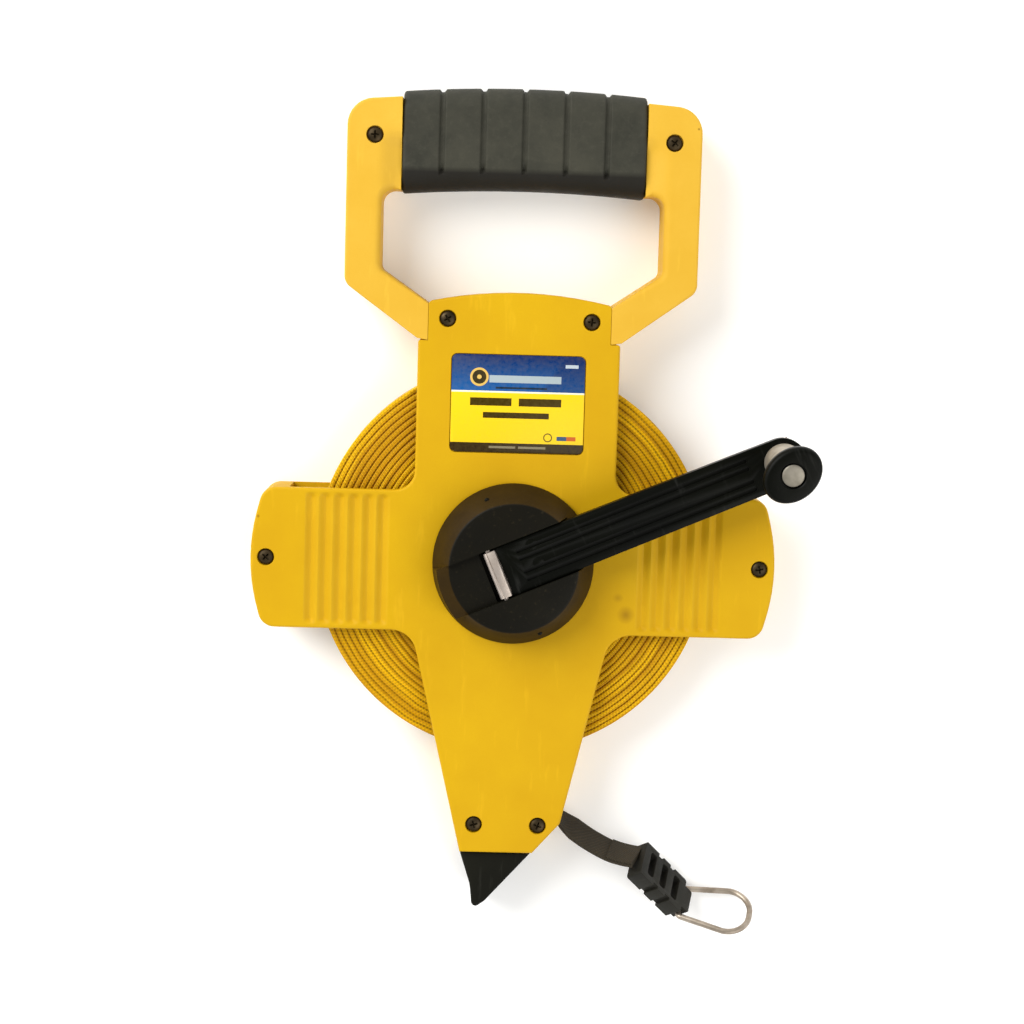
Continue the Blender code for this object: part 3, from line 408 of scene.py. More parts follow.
def relief(name, outline, z_side, fillet_at, depth_at, points, flip):
    """A closed plate up to the front face, or down to the rear one when flipped.

    The face is a fine relief: filleted at its outline and sunk by depth_at(x, y).
    """
    fillets = [fillet_at(p.x, p.y) for p in outline]
    flat, drops, edges = [], [], []
    for k in range(FILLET_STEPS + 2):
        a = pi / 2 * min(1.0, k / FILLET_STEPS)
        rim = FILLET_RIM if k > FILLET_STEPS else 0.0
        first = len(flat)
        flat += inset(outline, [f * (1 - cos(a)) + rim for f in fillets])
        drops += [f * (1 - sin(a)) for f in fillets]
        edges += [(first + i, first + (i + 1) % len(outline)) for i in range(len(outline))]
    flat += [Vector(p) for p in points]
    drops += [0.0] * len(points)
    made = delaunay_2d_cdt([p * 1000 for p in flat], edges, [], 1, 1e-5)
    coords, faces, sources = made[0], made[2], made[3]
    bm = bmesh.new()
    verts = []
    for place, source in zip(coords, sources):
        x, y = place.x / 1000, place.y / 1000
        drop = drops[source[0]] if source else 0.0
        z = FRAME_T - drop - depth_at(x, y)
        verts.append(bm.verts.new((x, y, FRAME_T - z if flip else z)))
    for face in faces:
        bm.faces.new([verts[i] for i in face])
    rim = [None] * len(outline)
    for vert, source in zip(verts, sources):
        for i in source:
            if i < len(outline):
                rim[i] = vert
    z_low = FRAME_T - z_side if flip else z_side
    low = [bm.verts.new((v.co.x, v.co.y, z_low)) for v in rim]
    band(bm, low, rim)
    bm.faces.new(low)
    return add_piece(name, bm)


def flatten_normals(obj):
    """Keeps the broad faces' shading flat up to their rounded edges."""
    modifier = obj.modifiers.new("flat_faces", "WEIGHTED_NORMAL")
    modifier.keep_sharp = True
    modifier.weight = 100
    bake(obj)


# Node materials.


def srgb(r, g, b):
    """A colour given as 0 to 255 screen values, as the shader's linear ones."""
    linear = []
    for value in (r, g, b):
        v = value / 255
        linear.append(v / 12.92 if v <= 0.04045 else ((v + 0.055) / 1.055) ** 2.4)
    return (*linear, 1.0)


class Look:
    """A material whose nodes are added one call at a time."""

    def __init__(self, name, roughness=0.5, metallic=0.0, specular=0.5):
        self.material = bpy.data.materials.new(name)
        self.material.use_nodes = True
        self.tree = self.material.node_tree
        self.shader = self.tree.nodes["Principled BSDF"]
        self.shader.inputs["Roughness"].default_value = roughness
        self.shader.inputs["Metallic"].default_value = metallic
        self.shader.inputs["Specular IOR Level"].default_value = specular
        self.place = self.node("ShaderNodeTexCoord").outputs["Object"]

    def node(self, kind, **settings):
        made = self.tree.nodes.new(kind)
        for key, value in settings.items():
            setattr(made, key, value)
        return made

    def link(self, source, target):
        if isinstance(source, (int, float, tuple)):
            target.default_value = source
        else:
            self.tree.links.new(source, target)

    def math(self, operation, a, b=0.0, clamp=False):
        made = self.node("ShaderNodeMath", operation=operation, use_clamp=clamp)
        self.link(a, made.inputs[0])
        self.link(b, made.inputs[1])
        return made.outputs[0]

    def times(self, a, b):
        return self.math("MULTIPLY", a, b)

    def plus(self, a, b, clamp=False):
        return self.math("ADD", a, b, clamp)

    def minus(self, a, b):
        return self.math("SUBTRACT", a, b)

    def split(self, vector=None):
        made = self.node("ShaderNodeSeparateXYZ")
        self.link(vector or self.place, made.inputs[0])
        return made.outputs

    def join(self, x, y, z):
        made = self.node("ShaderNodeCombineXYZ")
        for value, target in zip((x, y, z), made.inputs):
            self.link(value, target)
        return made.outputs[0]

    def stretched(self, x, y, z):
        made = self.node("ShaderNodeMapping")
        made.inputs["Scale"].default_value = (x, y, z)
        self.link(self.place, made.inputs["Vector"])
        return made.outputs[0]

    def noise(self, scale, detail=3.0, roughness=0.55, vector=None):
        made = self.node("ShaderNodeTexNoise")
        made.inputs["Scale"].default_value = scale
        made.inputs["Detail"].default_value = detail
        made.inputs["Roughness"].default_value = roughness
        self.link(vector or self.place, made.inputs["Vector"])
        return made.outputs["Fac"]

    def spots(self, scale):
        made = self.node("ShaderNodeTexVoronoi")
        made.inputs["Scale"].default_value = scale
        self.link(self.place, made.inputs["Vector"])
        return made.outputs["Distance"]

    def spread(self, value, low, high, to_low=0.0, to_high=1.0):
        made = self.node("ShaderNodeMapRange", clamp=True)
        ends = {"From Min": low, "From Max": high, "To Min": to_low, "To Max": to_high}
        for key, number in ends.items():
            made.inputs[key].default_value = number
        self.link(value, made.inputs["Value"])
        return made.outputs[0]

    def length(self, vector):
        made = self.node("ShaderNodeVectorMath", operation="LENGTH")
        self.link(vector, made.inputs[0])
        return made.outputs["Value"]

    def within(self, value, low, high):
        above, below = self.math("GREATER_THAN", value, low), self.math("LESS_THAN", value, high)
        return self.times(above, below)

    def mix(self, factor, a, b):
        made = self.node("ShaderNodeMix", data_type="RGBA")
        self.link(factor, made.inputs[0])
        self.link(a, made.inputs[6])
        self.link(b, made.inputs[7])
        return made.outputs[2]

    def over(self, base, mask, strength, tint):
        """Lays a tint over the base, as far as the mask and a strength say."""
        return self.mix(self.times(mask, strength), base, tint)

    def finish(self, colour, rough, *bumps):
        """Ends the material: its colour, its roughness, and (height, distance, strength) bumps in turn."""
        self.link(colour, self.shader.inputs["Base Color"])
        self.link(rough, self.shader.inputs["Roughness"])
        target = self.shader.inputs["Normal"]
        for height, distance, strength in reversed(bumps):
            made = self.node("ShaderNodeBump")
            made.inputs["Distance"].default_value = distance
            made.inputs["Strength"].default_value = strength
            self.link(height, made.inputs["Height"])
            self.link(made.outputs["Normal"], target)
            target = made.inputs["Normal"]
        return self.material


def moulded(name, tint, shade, roughness, grain, grain_depth, specular=0.5, dust=0.0, marks=()):
    """Moulded plastic: two close tints in soft clouds, a fine spark-eroded grain and light scuffs."""
    look = Look(name, roughness, specular=specular)
    clouds = look.spread(look.noise(28, 4), 0.35, 0.65)
    fine = look.noise(grain, 2, 0.6)
    scuffs = look.spread(look.noise(1.0, 3, 0.7, look.stretched(260, 38, 90)), 0.60, 0.72)
    base = look.mix(clouds, tint, shade)
    speck = look.spread(fine, 0.3, 0.7)
    base = look.over(base, speck, 0.3, shade)
    if dust:
        pale = tuple(min(1.0, c * 1.6 + 0.02) for c in tint[:3]) + (1.0,)
        base = look.over(base, scuffs, dust, pale)
    for x, y, wide, tall, strength in marks:
        shift = look.node("ShaderNodeMapping")
        shift.inputs["Location"].default_value = (-x / wide, -y / tall, 0)
        shift.inputs["Scale"].default_value = (1 / wide, 1 / tall, 0)
        look.link(look.place, shift.inputs["Vector"])
        ragged = look.plus(look.length(shift.outputs[0]), look.spread(clouds, 0.0, 1.0, 0.0, 0.3))
        base = look.mix(look.spread(ragged, 1.0, 0.1, 0.0, strength), base, srgb(110, 66, 8))
    uneven = look.times(look.minus(clouds, 0.5), 0.10)
    uneven = look.plus(uneven, look.times(scuffs, 0.12))
    return look.finish(base, look.plus(uneven, roughness, clamp=True), (fine, grain_depth, 0.6))


def hub_look():
    """The hub's black plastic, with a painted brown reflection of the yellow frame on its sloping rim."""
    look = Look("hub_nylon", 0.46, specular=0.09)
    x, y, _ = look.split()
    radius = look.math("SQRT", look.plus(look.times(x, x), look.times(y, y)))
    clouds = look.spread(look.noise(60, 4), 0.3, 0.7)
    fine = look.noise(1300, 2, 0.6)
    base = look.mix(clouds, srgb(20, 18, 11), srgb(12, 11, 7))
    # Painted reflection: the sloping rim past the top face is tinted brown, standing in for the yellow frame
    # mirrored in it.
    rim = look.spread(radius, HUB_TOP_R - 0.1 * MM, HUB_TOP_R + 0.3 * MM)
    rim_reflection = look.mix(clouds, srgb(58, 42, 12), srgb(44, 31, 8))
    base = look.over(base, rim, 0.85, rim_reflection)
    dust = look.spread(look.noise(700, 3, 0.7), 0.6, 0.75)
    return look.finish(
        look.over(base, dust, 0.25, srgb(66, 58, 40)),
        look.spread(clouds, 0.0, 1.0, 0.40, 0.52),
        (fine, 0.03 * MM, 0.6),
    )


def metal(name, tint, shade, roughness, along=(40, 400, 400)):
    """Plated steel with fine drawing lines and small dull spots."""
    look = Look(name, roughness, metallic=0.8)
    lines = look.noise(1.0, 4, 0.6, look.stretched(*(3 * a for a in along)))
    cloud = look.spread(look.noise(180, 3), 0.35, 0.7)
    pits = look.spread(look.spots(900), 0.05, 0.16, 1.0, 0.0)
    value = look.plus(look.times(cloud, 0.14), roughness - 0.04)
    value = look.plus(value, look.times(pits, 0.2))
    return look.finish(
        look.mix(cloud, tint, shade),
        look.plus(value, look.times(lines, 0.08), clamp=True),
        (lines, 0.03 * MM, 0.4), (pits, -0.02 * MM, 0.4),
    )


def tape_look():
    """The edges of many turns, grouped in rings with painted shade in the dark stitched gaps between them.
    """
    look = Look("tape_edges", 0.6, specular=0.2)
    place = look.join(*look.split()[:2], 0.0)
    share = look.spread(look.length(place), COIL_INNER, COIL_OUTER)
    share = look.times(share, share)
    off = look.node("ShaderNodeVectorMath", operation="SUBTRACT")
    look.link(place, off.inputs[0])
    shift = [look.times(share, value) for value in COIL_DRIFT]
    look.link(look.join(*shift, 0.0), off.inputs[1])
    x, y, _ = look.split(off.outputs[0])
    radius = look.length(off.outputs[0])
    angle = look.math("ARCTAN2", y, x)
    step = GROUP_TURNS * TURN_PITCH
    start = COIL_INNER + TURN_PITCH / 2
    phase = look.math("DIVIDE", look.minus(radius, start), step)
    phase = look.plus(phase, look.spread(look.noise(70, 2), 0.3, 0.7, -0.16, 0.16))
    ring = look.math("COSINE", look.times(phase, 2 * pi))
    index = look.math("ROUND", phase)
    row_shift, tone_step = 2.4, 0.73
    row = look.math("ROUND", look.times(phase, 2.0))
    stitch = look.plus(look.times(angle, STITCHES), look.times(row, row_shift))
    stitch = look.math("SINE", stitch)
    on_edges = look.math("LESS_THAN", radius, COIL_OUTER - 0.1 * MM)
    # Painted shade: the gaps between groups of turns are darkened, in dashes along the stitches.
    painted_gap_shade = look.times(look.spread(ring, 0.45, 0.95, 0.0, 0.75), on_edges)
    dash = look.spread(stitch, -0.7, 0.7, 0.55, 1.0)
    bead = look.times(look.spread(stitch, -0.4, 0.9, 0.0, 0.34), on_edges)
    tone = look.noise(1.0, 0, 0.5, look.join(look.times(index, tone_step), angle, 0.0))
    base = look.mix(look.spread(tone, 0.35, 0.65), srgb(218, 165, 4), srgb(248, 202, 12))
    base = look.mix(bead, base, srgb(150, 98, 0))
    base = look.over(base, painted_gap_shade, dash, srgb(112, 66, 0))
    fuzz = look.noise(2200, 3, 0.7)
    base = look.mix(look.spread(fuzz, 0.45, 0.8, 0.0, 0.35), base, srgb(140, 96, 8))
    return look.finish(
        base,
        look.spread(fuzz, 0.3, 0.7, 0.5, 0.75),
        (ring, -0.25 * MM, 0.7), (stitch, 0.03 * MM, 0.5), (fuzz, 0.08 * MM, 0.5),
    )


def woven(name, tint, shade, pitch):
    """A coated weave: threads cross each other at the given pitch."""
    look = Look(name, 0.8, specular=0.25)
    x, y, z = look.split()
    turn = 2 * pi / pitch
    warp = look.math("SINE", look.times(look.plus(x, look.times(y, 0.6)), turn))
    weft = look.math("SINE", look.times(z, turn))
    cross = look.times(warp, weft)
    fuzz = look.noise(2600, 3, 0.7)
    thread = look.plus(look.times(cross, 0.5), 0.5)
    base = look.mix(look.times(thread, look.spread(fuzz, 0.35, 0.65)), shade, tint)
    base = look.over(base, look.spread(look.noise(120, 3), 0.4, 0.7), 0.5, shade)
    return look.finish(
        base,
        look.spread(fuzz, 0.3, 0.7, 0.66, 0.9),
        (cross, 0.07 * MM, 0.8), (fuzz, 0.08 * MM, 0.5),
    )


def rubber_look():
    """Grip rubber with a dusty bloom, a fine pebble and painted shade on its lower band."""
    look = Look("grip_rubber", 0.72, specular=0.3)
    cloud = look.spread(look.noise(60, 5, 0.65), 0.35, 0.7)
    pebble = look.spots(1300)
    base = look.mix(cloud, srgb(40, 40, 31), srgb(58, 57, 47))
    bloom = look.spread(look.noise(420, 4, 0.7), 0.5, 0.75)
    base = look.over(base, bloom, 0.16, srgb(82, 80, 68))
    _, y, _ = look.split()
    # Painted shade: the lower band, which turns away from the light, is darkened to a near-black brown.
    under = look.spread(y, GRIP_END_LOW + 9.5 * MM, GRIP_END_LOW + 7.5 * MM)
    base = look.over(base, under, 0.92, srgb(14, 10, 3))
    return look.finish(
        base,
        look.spread(cloud, 0.0, 1.0, 0.62, 0.8),
        (pebble, 0.05 * MM, 0.5), (look.noise(700, 4, 0.7), 0.06 * MM, 0.5),
    )


def label_look():
    """A printed film: a ring and a bar on blue, dark bars on yellow, and a dark strip at the foot."""
    look = Look("label_print", 0.36, specular=0.16)
    x, y, _ = look.split()
    x, y = look.times(x, 1000), look.times(y, 1000)
    base = look.mix(look.spread(y, 62, 74), srgb(24, 86, 150), srgb(14, 40, 92))
    slant = look.minus(x, look.times(y, 0.7))
    base = look.mix(look.spread(slant, -36, -34, 0.0, 0.45), base, srgb(16, 34, 84))
    base = look.mix(look.math("LESS_THAN", y, BLUE_LOW), base, srgb(236, 230, 208))
    base = look.mix(look.math("LESS_THAN", y, LINE_LOW), base, srgb(240, 202, 26))
    base = look.mix(look.math("LESS_THAN", y, YELLOW_LOW), base, srgb(46, 32, 10))
    for x0, x1, y0, y1, colour in LABEL_BARS:
        bar = look.times(look.within(x, x0, x1), look.within(y, y0, y1))
        base = look.mix(bar, base, srgb(*colour))
    for cx, cy, low, high, colour in LABEL_RINGS:
        off = look.join(look.minus(x, cx), look.minus(y, cy), 0.0)
        base = look.mix(look.within(look.length(off), low, high), base, srgb(*colour))
    grain = look.noise(900, 2)
    base = look.mix(look.spread(grain, 0.3, 0.9, 0.0, 0.10), base, srgb(160, 140, 60))
    return look.finish(base, look.spread(grain, 0.3, 0.7, 0.26, 0.40), (grain, 0.02 * MM, 0.4))


def floor_look():
    """A pale matt sweep with the faintest mottling."""
    look = Look("studio_floor", 0.9, specular=0.1)
    cloud = look.spread(look.noise(5, 3), 0.3, 0.7)
    look.shader.inputs["Emission Color"].default_value = (1.0, 1.0, 1.0, 1.0)
    look.shader.inputs["Emission Strength"].default_value = FLOOR_GLOW
    return look.finish(
        look.mix(cloud, (0.93, 0.93, 0.93, 1.0), (0.95, 0.95, 0.95, 1.0)),
        look.spread(cloud, 0.0, 1.0, 0.86, 0.94),
    )


FRAME_TINTS = (srgb(204, 161, 8), srgb(196, 151, 3))
HANDLE_TINTS = (srgb(217, 173, 58), srgb(209, 163, 44))
YELLOW = moulded("frame_abs", *FRAME_TINTS, 0.54, 1500, 0.03 * MM, 0.16, 0.12, FRAME_MARKS)
HANDLE = moulded("handle_abs", *HANDLE_TINTS, 0.56, 1200, 0.04 * MM, 0.2, 0.12, HANDLE_MARKS)
BLACK = moulded("black_nylon", srgb(19, 18, 11), srgb(11, 11, 6), 0.46, 1300, 0.03 * MM, 0.10, 0.4)
COVER = moulded("crank_cover", srgb(9, 10, 5), srgb(3, 4, 2), 0.40, 1300, 0.02 * MM, 0.09, 0.4)
HUB = hub_look()
SPIKE = moulded("spike_nylon", srgb(24, 24, 16), srgb(16, 16, 10), 0.66, 900, 0.07 * MM, 0.10, 0.4)
CLIP = moulded("clip_nylon", srgb(32, 31, 23), srgb(21, 20, 15), 0.58, 1100, 0.08 * MM, 0.2, 0.4)
RUBBER = rubber_look()
STEEL = metal("plated_steel", srgb(206, 194, 184), srgb(172, 160, 150), 0.36)
RIVET = metal("rivet_steel", srgb(150, 144, 132), srgb(122, 116, 104), 0.46)
WIRE = metal("ring_wire", srgb(178, 166, 152), srgb(128, 116, 102), 0.38)
NECK = metal("knob_sleeve", srgb(190, 182, 168), srgb(158, 150, 134), 0.45, (400, 400, 20))
SCREW = metal("black_screw", srgb(66, 54, 34), srgb(34, 27, 15), 0.42)
TAPE = tape_look()
STRAP = woven("leader_weave", srgb(74, 66, 50), srgb(36, 31, 22), 0.9 * MM)
LABEL = label_look()


# The frame halves.


def frame_outline():
    """The cross seen from the front, counter-clockwise."""
    bow_centre = ARM_REACH - ARM_BOW_R
    levels = mm(*range(-16, 17, 4))
    bow = [(bow_centre + sqrt(ARM_BOW_R**2 - y**2), y, 0) for y in levels]
    corner_x = bow_centre + sqrt(ARM_BOW_R**2 - ARM_HALF**2) + 0.6 * MM
    rise = TAB_TOP_Y - TAB_CORNER_Y
    crown = [(x, TAB_CORNER_Y + rise * (1 - (x / TAB_HALF) ** 2), 0) for x in mm(*range(27, -28, -6))]
    right = [
        (*MOUTH_CORNER, 0.8 * MM), (FOOT_ROOT_X, -ARM_HALF, FOOT_ROOT_R),
        (corner_x, -ARM_HALF, ARM_CORNER_R), *bow, (corner_x, ARM_HALF, ARM_CORNER_R),
        (COLUMN_HALF, ARM_HALF, ARM_ROOT_R), (COLUMN_HALF, SHOULDER_Y, 0.9 * MM),
        (TAB_HALF, SHOULDER_Y, 0), (TAB_HALF, TAB_CORNER_Y, TAB_CORNER_R),
    ]
    foot = [(FOOT_LEFT, FOOT_Y, 0), (FOOT_RIGHT, FOOT_Y, 0)]
    return rounded(right + crown + mirrored(right[1:]) + foot)


def screw_places():
    return [*both_sides((SIDE_SCREW_X, 0.0)), *both_sides(TOP_SCREW), *both_sides(FOOT_SCREW)]


def frame_fillet(x, y):
    """The frame's edge is rounded, but sharp where the handle's feet meet it."""
    beside_tab = TAB_HALF - 3 * MM < abs(x) < COLUMN_HALF + MM
    return SEAM_FILLET if beside_tab and SHOULDER_Y - 0.5 * MM < y < TAB_CORNER_Y else FACE_FILLET


def wave_depth(x, y):
    """The six soft valleys across each side arm."""
    along = (abs(x) - WAVE_FIRST) / WAVE_PITCH
    if not -0.5 < along < WAVE_COUNT - 0.5:
        return 0.0
    fade = smooth_step((WAVE_REACH_Y - abs(y)) / WAVE_FADE)
    return WAVE_DEPTH * fade * (0.5 + 0.5 * cos(2 * pi * along))


def wave_points():
    """Rows of points across the waves, closest where the waves fade out."""
    points = []
    rows = [*WAVE_ROWS, *(-y for y in reversed(WAVE_ROWS[:-1]))]
    start = WAVE_FIRST - WAVE_PITCH / 2
    count = WAVE_COUNT * 8
    for k in range(count + 1):
        x = start + WAVE_PITCH * WAVE_COUNT * k / count
        points += [(side * x, y) for y in rows for side in (1, -1)]
    return points


def flat_points():
    """A loose grid over the column, foot and arms' ends, which keeps the broad faces' shading even."""
    points = []
    for i in range(-19, 20):
        for j in range(-20, 19):
            x, y = i * GRID_STEP * MM, j * GRID_STEP * MM
            beside_waves = abs(abs(x) - WAVE_FIRST - WAVE_PITCH * 2.5) > WAVE_PITCH * 3.4
            in_column = abs(x) < COLUMN_GRID_HALF and y > FOOT_GRID_TOP
            in_foot = y <= FOOT_GRID_TOP and abs(x + 3 * MM) < 12 * MM + (y + 100 * MM) * 0.1
            in_arm = abs(y) < ARM_HALF - 4 * MM and abs(x) < ARM_REACH - 3 * MM
            if beside_waves and (in_column or in_foot or in_arm):
                points.append((x, y))
    return points


def gate_outlines():
    """The tape's mouth and the rooms for the spike's tang and the handle's two tongues."""
    tang = box_outline(TANG_LEFT, FOOT_Y - MM, TANG_RIGHT, FOOT_Y + TANG_DEPTH)
    tongues = [
        box_outline(x0, TOP_SCREW[1] - TONGUE_LOW, x1, TOP_SCREW[1] + TONGUE_HIGH)
        for x0, x1 in ((TONGUE_IN, TONGUE_OUT), (-TONGUE_OUT, -TONGUE_IN))
    ]
    return [box_outline(*MOUTH_BOX), tang, *tongues]


def screw_seats(places):
    """The sunk seats of the screws, each with a small rounded lip."""
    floor = FRAME_T - RECESS_DEPTH
    lip_r = RECESS_R + RECESS_LIP
    profile = [
        (0, floor), (RECESS_R, floor), (RECESS_R, FRAME_T - 0.35 * MM),
        (RECESS_R + 0.12 * MM, FRAME_T - 0.12 * MM), (lip_r, FRAME_T + 0.02 * MM),
        (lip_r, FRAME_T + MM), (0, FRAME_T + MM),
    ]
    return turned(profile, 44, places)


def label_outline(grow=0.0):
    low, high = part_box("label")
    return rounded_box(low.x - grow, low.y - grow, high.x + grow, high.y + grow, LABEL_R + grow)


def build_frame_half(name, node, rear):
    """One hollow shell; the front one also has screw seats, a bay for the label and the hub's bore."""
    z0 = MID + HALF_GAP
    points = wave_points() + flat_points()
    shell = relief(name, frame_outline(), z0, frame_fillet, wave_depth, points, rear)
    if rear:
        z1 = MID - HALF_GAP
        room, gates = (WALL, z1 + MM), (GATE_LOW, z1 + MM)
    else:
        carve(shell, [screw_seats(screw_places())])
        carve(shell, [prisms([label_outline(GAP)], FRAME_T - LABEL_BAY, FRAME_T + MM)])
        room, gates = (z0 - MM, FRAME_T - WALL), (z0 - MM, FRAME_T - GATE_LOW)
    side = box_outline(-ARM_WINDOW, -30 * MM, ARM_WINDOW, 30 * MM)
    hollows = (circle(0, 0, COIL_ROOM, 128), inset(frame_outline(), EDGE_WALL), side)
    tools = [prisms([outline], *room) for outline in hollows]
    tools.append(prisms(gate_outlines(), *gates))
    if not rear:
        bore = circle(0, 0, JOURNAL_R + GAP, 96)
        tools.append(prisms([bore], FRAME_T - WALL - MM, FRAME_T + MM))
    carve(shell, tools)
    dress(shell, "frame", [node], YELLOW, 28)
    flatten_normals(shell)


def build_label():
    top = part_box("label")[1].z
    outline = label_outline()
    levels = [(outline, top - 0.45 * MM), (outline, top - 0.15 * MM), (inset(outline, 0.25 * MM), top)]
    film = add_piece("label_film", loft([lift(ring, z) for ring, z in levels]))
    dress(film, "frame", ["label"], LABEL)


# Screws.


def screw_mesh():
    """A pan head with a tapered cross recess, its seat at z 0."""
    top = SCREW_HEAD_H
    angles = [radians(d) for d in (0, 18, 36, 52, 66, 78)]
    dome = [(SCREW_HEAD_R * cos(a), top * 0.35 + top * 0.65 * sin(a)) for a in angles]
    body = [(0, -SCREW_BODY_L), (SCREW_BODY_R, -SCREW_BODY_L), (SCREW_BODY_R, 0)]
    piece = add_piece("screw_shape", turned([*body, (SCREW_HEAD_R, 0), *dome, (0, top)], 40))
    corners = [(CROSS_LONG, -CROSS_SHORT), (CROSS_LONG, CROSS_SHORT), (CROSS_SHORT, CROSS_SHORT)]
    for _ in range(3):
        corners += [(-y, x) for x, y in corners[-3:]]
    levels = ((0.5 * MM, 0.35), (top - 0.2 * MM, 0.9), (top + 0.5 * MM, 1.1))
    carve(piece, [loft([[Vector((x * s, y * s, z)) for x, y in corners] for z, s in levels])])
    soften(piece, 0.08 * MM, 2, 40)
    mesh = piece.data
    bpy.data.objects.remove(piece)
    return mesh


def build_screws():
    """Eight heads share one mesh, each turned to its own angle."""
    mesh = screw_mesh()
    places = [(f"frame_screw_{k}", *place) for k, place in enumerate(screw_places(), 1)]
    places += [(f"handle_screw_{k}", *place) for k, place in enumerate(both_sides(HANDLE_SCREW), 1)]
    seat = FRAME_T - RECESS_DEPTH + GAP
    for number, (node, x, y) in enumerate(places):
        turn = Matrix.Rotation(radians(37 * number + 11), 4, "Z")
        head = add_object(node + "_head", mesh, Matrix.Translation((x, y, seat)) @ turn)
        if number == 0:
            smooth(head, 30)
            mesh.materials.append(SCREW)
        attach(head, "frame")
        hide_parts(node)


# The handle.


def handle_outline():
    foot_x = TAB_HALF + SEAM
    bar_x = GRIP_HALF + GAP
    right = [
        (foot_x, SHOULDER_Y + SEAM, 0), (*HANDLE_FOOT, 0), (LEG_OUTER, LEG_OUTER_Y, 5 * MM),
        (LEG_OUTER, HANDLE_TOP_Y - 1.3 * MM, 9.5 * MM), (bar_x, HANDLE_TOP_Y, 0),
        (bar_x, BAR_HIGH_Y, 0),
    ]
    inner_left = [
        (-foot_x, FOOT_INNER_Y, 0), (-LEG_INNER, LEG_INNER_Y, 3 * MM),
        (-LEG_INNER, HAND_TOP_Y, 4.5 * MM), (-bar_x, HAND_TOP_Y, 0), (-bar_x, BAR_LOW_Y, 0),
    ]
    return rounded(right + mirrored(right) + inner_left + mirrored(inner_left))


def handle_fillet(x, y):
    """Well rounded round the hand hole, and sharp where the feet meet the frame and by the grip."""
    by_frame = abs(x) < HANDLE_FOOT[0] + 0.5 * MM and y < HOLE_LOW_Y
    by_grip = abs(x) < GRIP_HALF + MM and y > HAND_TOP_Y - 0.1 * MM
    if by_frame or by_grip:
        return SEAM_FILLET
    inside = abs(x) < LEG_INNER + MM and HOLE_LOW_Y < y < BAR_LOW_Y + MM
    return HAND_FILLET if inside else FACE_FILLET


def saddle_depth(x, y):
    """The scoop in each leg beside the grip."""
    inward = smooth_step((SADDLE_X - abs(x)) / SADDLE_BLEND)
    upward = smooth_step((y - SADDLE_LOW_Y) / (6 * MM)) * smooth_step((SADDLE_HIGH_Y - y) / (5 * MM))
    return SADDLE_DEPTH * inward * upward


def saddle_points():
    points = []
    for k in range(11):
        x = GRIP_HALF + (0.6 + 0.95 * k) * MM
        for j in range(18):
            y = (122.0 + 2.0 * j) * MM
            if y > HAND_TOP_Y + 2.9 * MM or x > LEG_INNER + 2.9 * MM:
                points += [(x, y), (-x, y)]
    return points


def build_handle_half(name, node, rear):
    z0 = MID + HALF_GAP
    half = relief(name, handle_outline(), z0, handle_fillet, saddle_depth, saddle_points(), rear)
    reach = GRIP_HALF + GAP
    low, high = (-MM, BAR_MARGIN) if rear else (FRAME_T - BAR_MARGIN, FRAME_T + MM)
    tools = [prisms([box_outline(-reach, 125 * MM, reach, 175 * MM)], low, high)]
    if not rear:
        tools.append(screw_seats(both_sides(HANDLE_SCREW)))
    carve(half, tools)
    dress(half, "frame", [node], HANDLE, 30)
    flatten_normals(half)


def split_long(points, longest, pieces):
    """Adds points along the long straight edges of an outline."""
    out = []
    for i, here in enumerate(points):
        ahead = points[(i + 1) % len(points)]
        count = pieces if (ahead - here).length > longest else 1
        out += [here.lerp(ahead, k / count) for k in range(count)]
    return out


def grip_groove(x):
    """How far, from 0 to 1, a place along the grip lies in one of its grooves."""
    depth = 0.0
    for groove in GRIP_GROOVES:
        away = abs(x - groove) / (GRIP_GROOVE_W / 2)
        depth = max(depth, 1 - smooth_step((away - 0.35) / 0.75))
    return depth


def grip_section(x):
    """The sleeve's rounded section at x: crowned, grooved above its lower band and turned in at its ends."""
    lift_y = GRIP_CROWN * (1 - (x / GRIP_HALF) ** 2)
    sink = 0.0
    end = (GRIP_HALF - abs(x)) / GRIP_END_TURN
    if end < 1.0:
        sink = GRIP_END_SINK * (1 - sqrt(max(0.0, 1 - (1 - end) ** 2)))
    low, high = GRIP_END_LOW + lift_y + sink, GRIP_END_HIGH + lift_y - sink
    half_t = FRAME_T / 2 - GRIP_SKIN - sink
    corners = [(low, MID - half_t, GRIP_LOW_R), (high, MID - half_t, GRIP_HIGH_R)]
    corners += [(high, MID + half_t, GRIP_HIGH_R), (low, MID + half_t, GRIP_LOW_R)]
    section = split_long(rounded(corners, 9), 3 * MM, 14)
    band = GRIP_END_LOW + lift_y + GRIP_BAND
    groove = grip_groove(x)
    depths = []
    for p in section:
        above = smooth_step((p.x - band) / (0.5 * MM))
        notch = above * smooth_step((band + 2.6 * MM - p.x) / MM)
        depths.append(groove * (above * GRIP_GROOVE_D + notch * GRIP_NOTCH_D))
    return [Vector((x, p.x, p.y)) for p in inset(section, depths)]


def build_grip():
    steps = 300
    sections = [grip_section(GRIP_HALF * (2 * k / steps - 1)) for k in range(steps + 1)]
    grip = add_piece("grip_rubber", loft(sections))
    dress(grip, "frame", ["grip_sleeve"], RUBBER, 50)


def build_spike():
    top = FOOT_Y - GAP
    outline = rounded([(FOOT_LEFT, top, 0), *SPIKE_CORNERS, (FOOT_RIGHT, top, 0)])
    spike = add_piece("spike_body", prisms([outline], SPIKE_MARGIN, FRAME_T - SPIKE_MARGIN))
    soften(spike, 1.1 * MM, 4, 50)
    dress(spike, "frame", ["ground_spike"], SPIKE, 40)


# The tape.


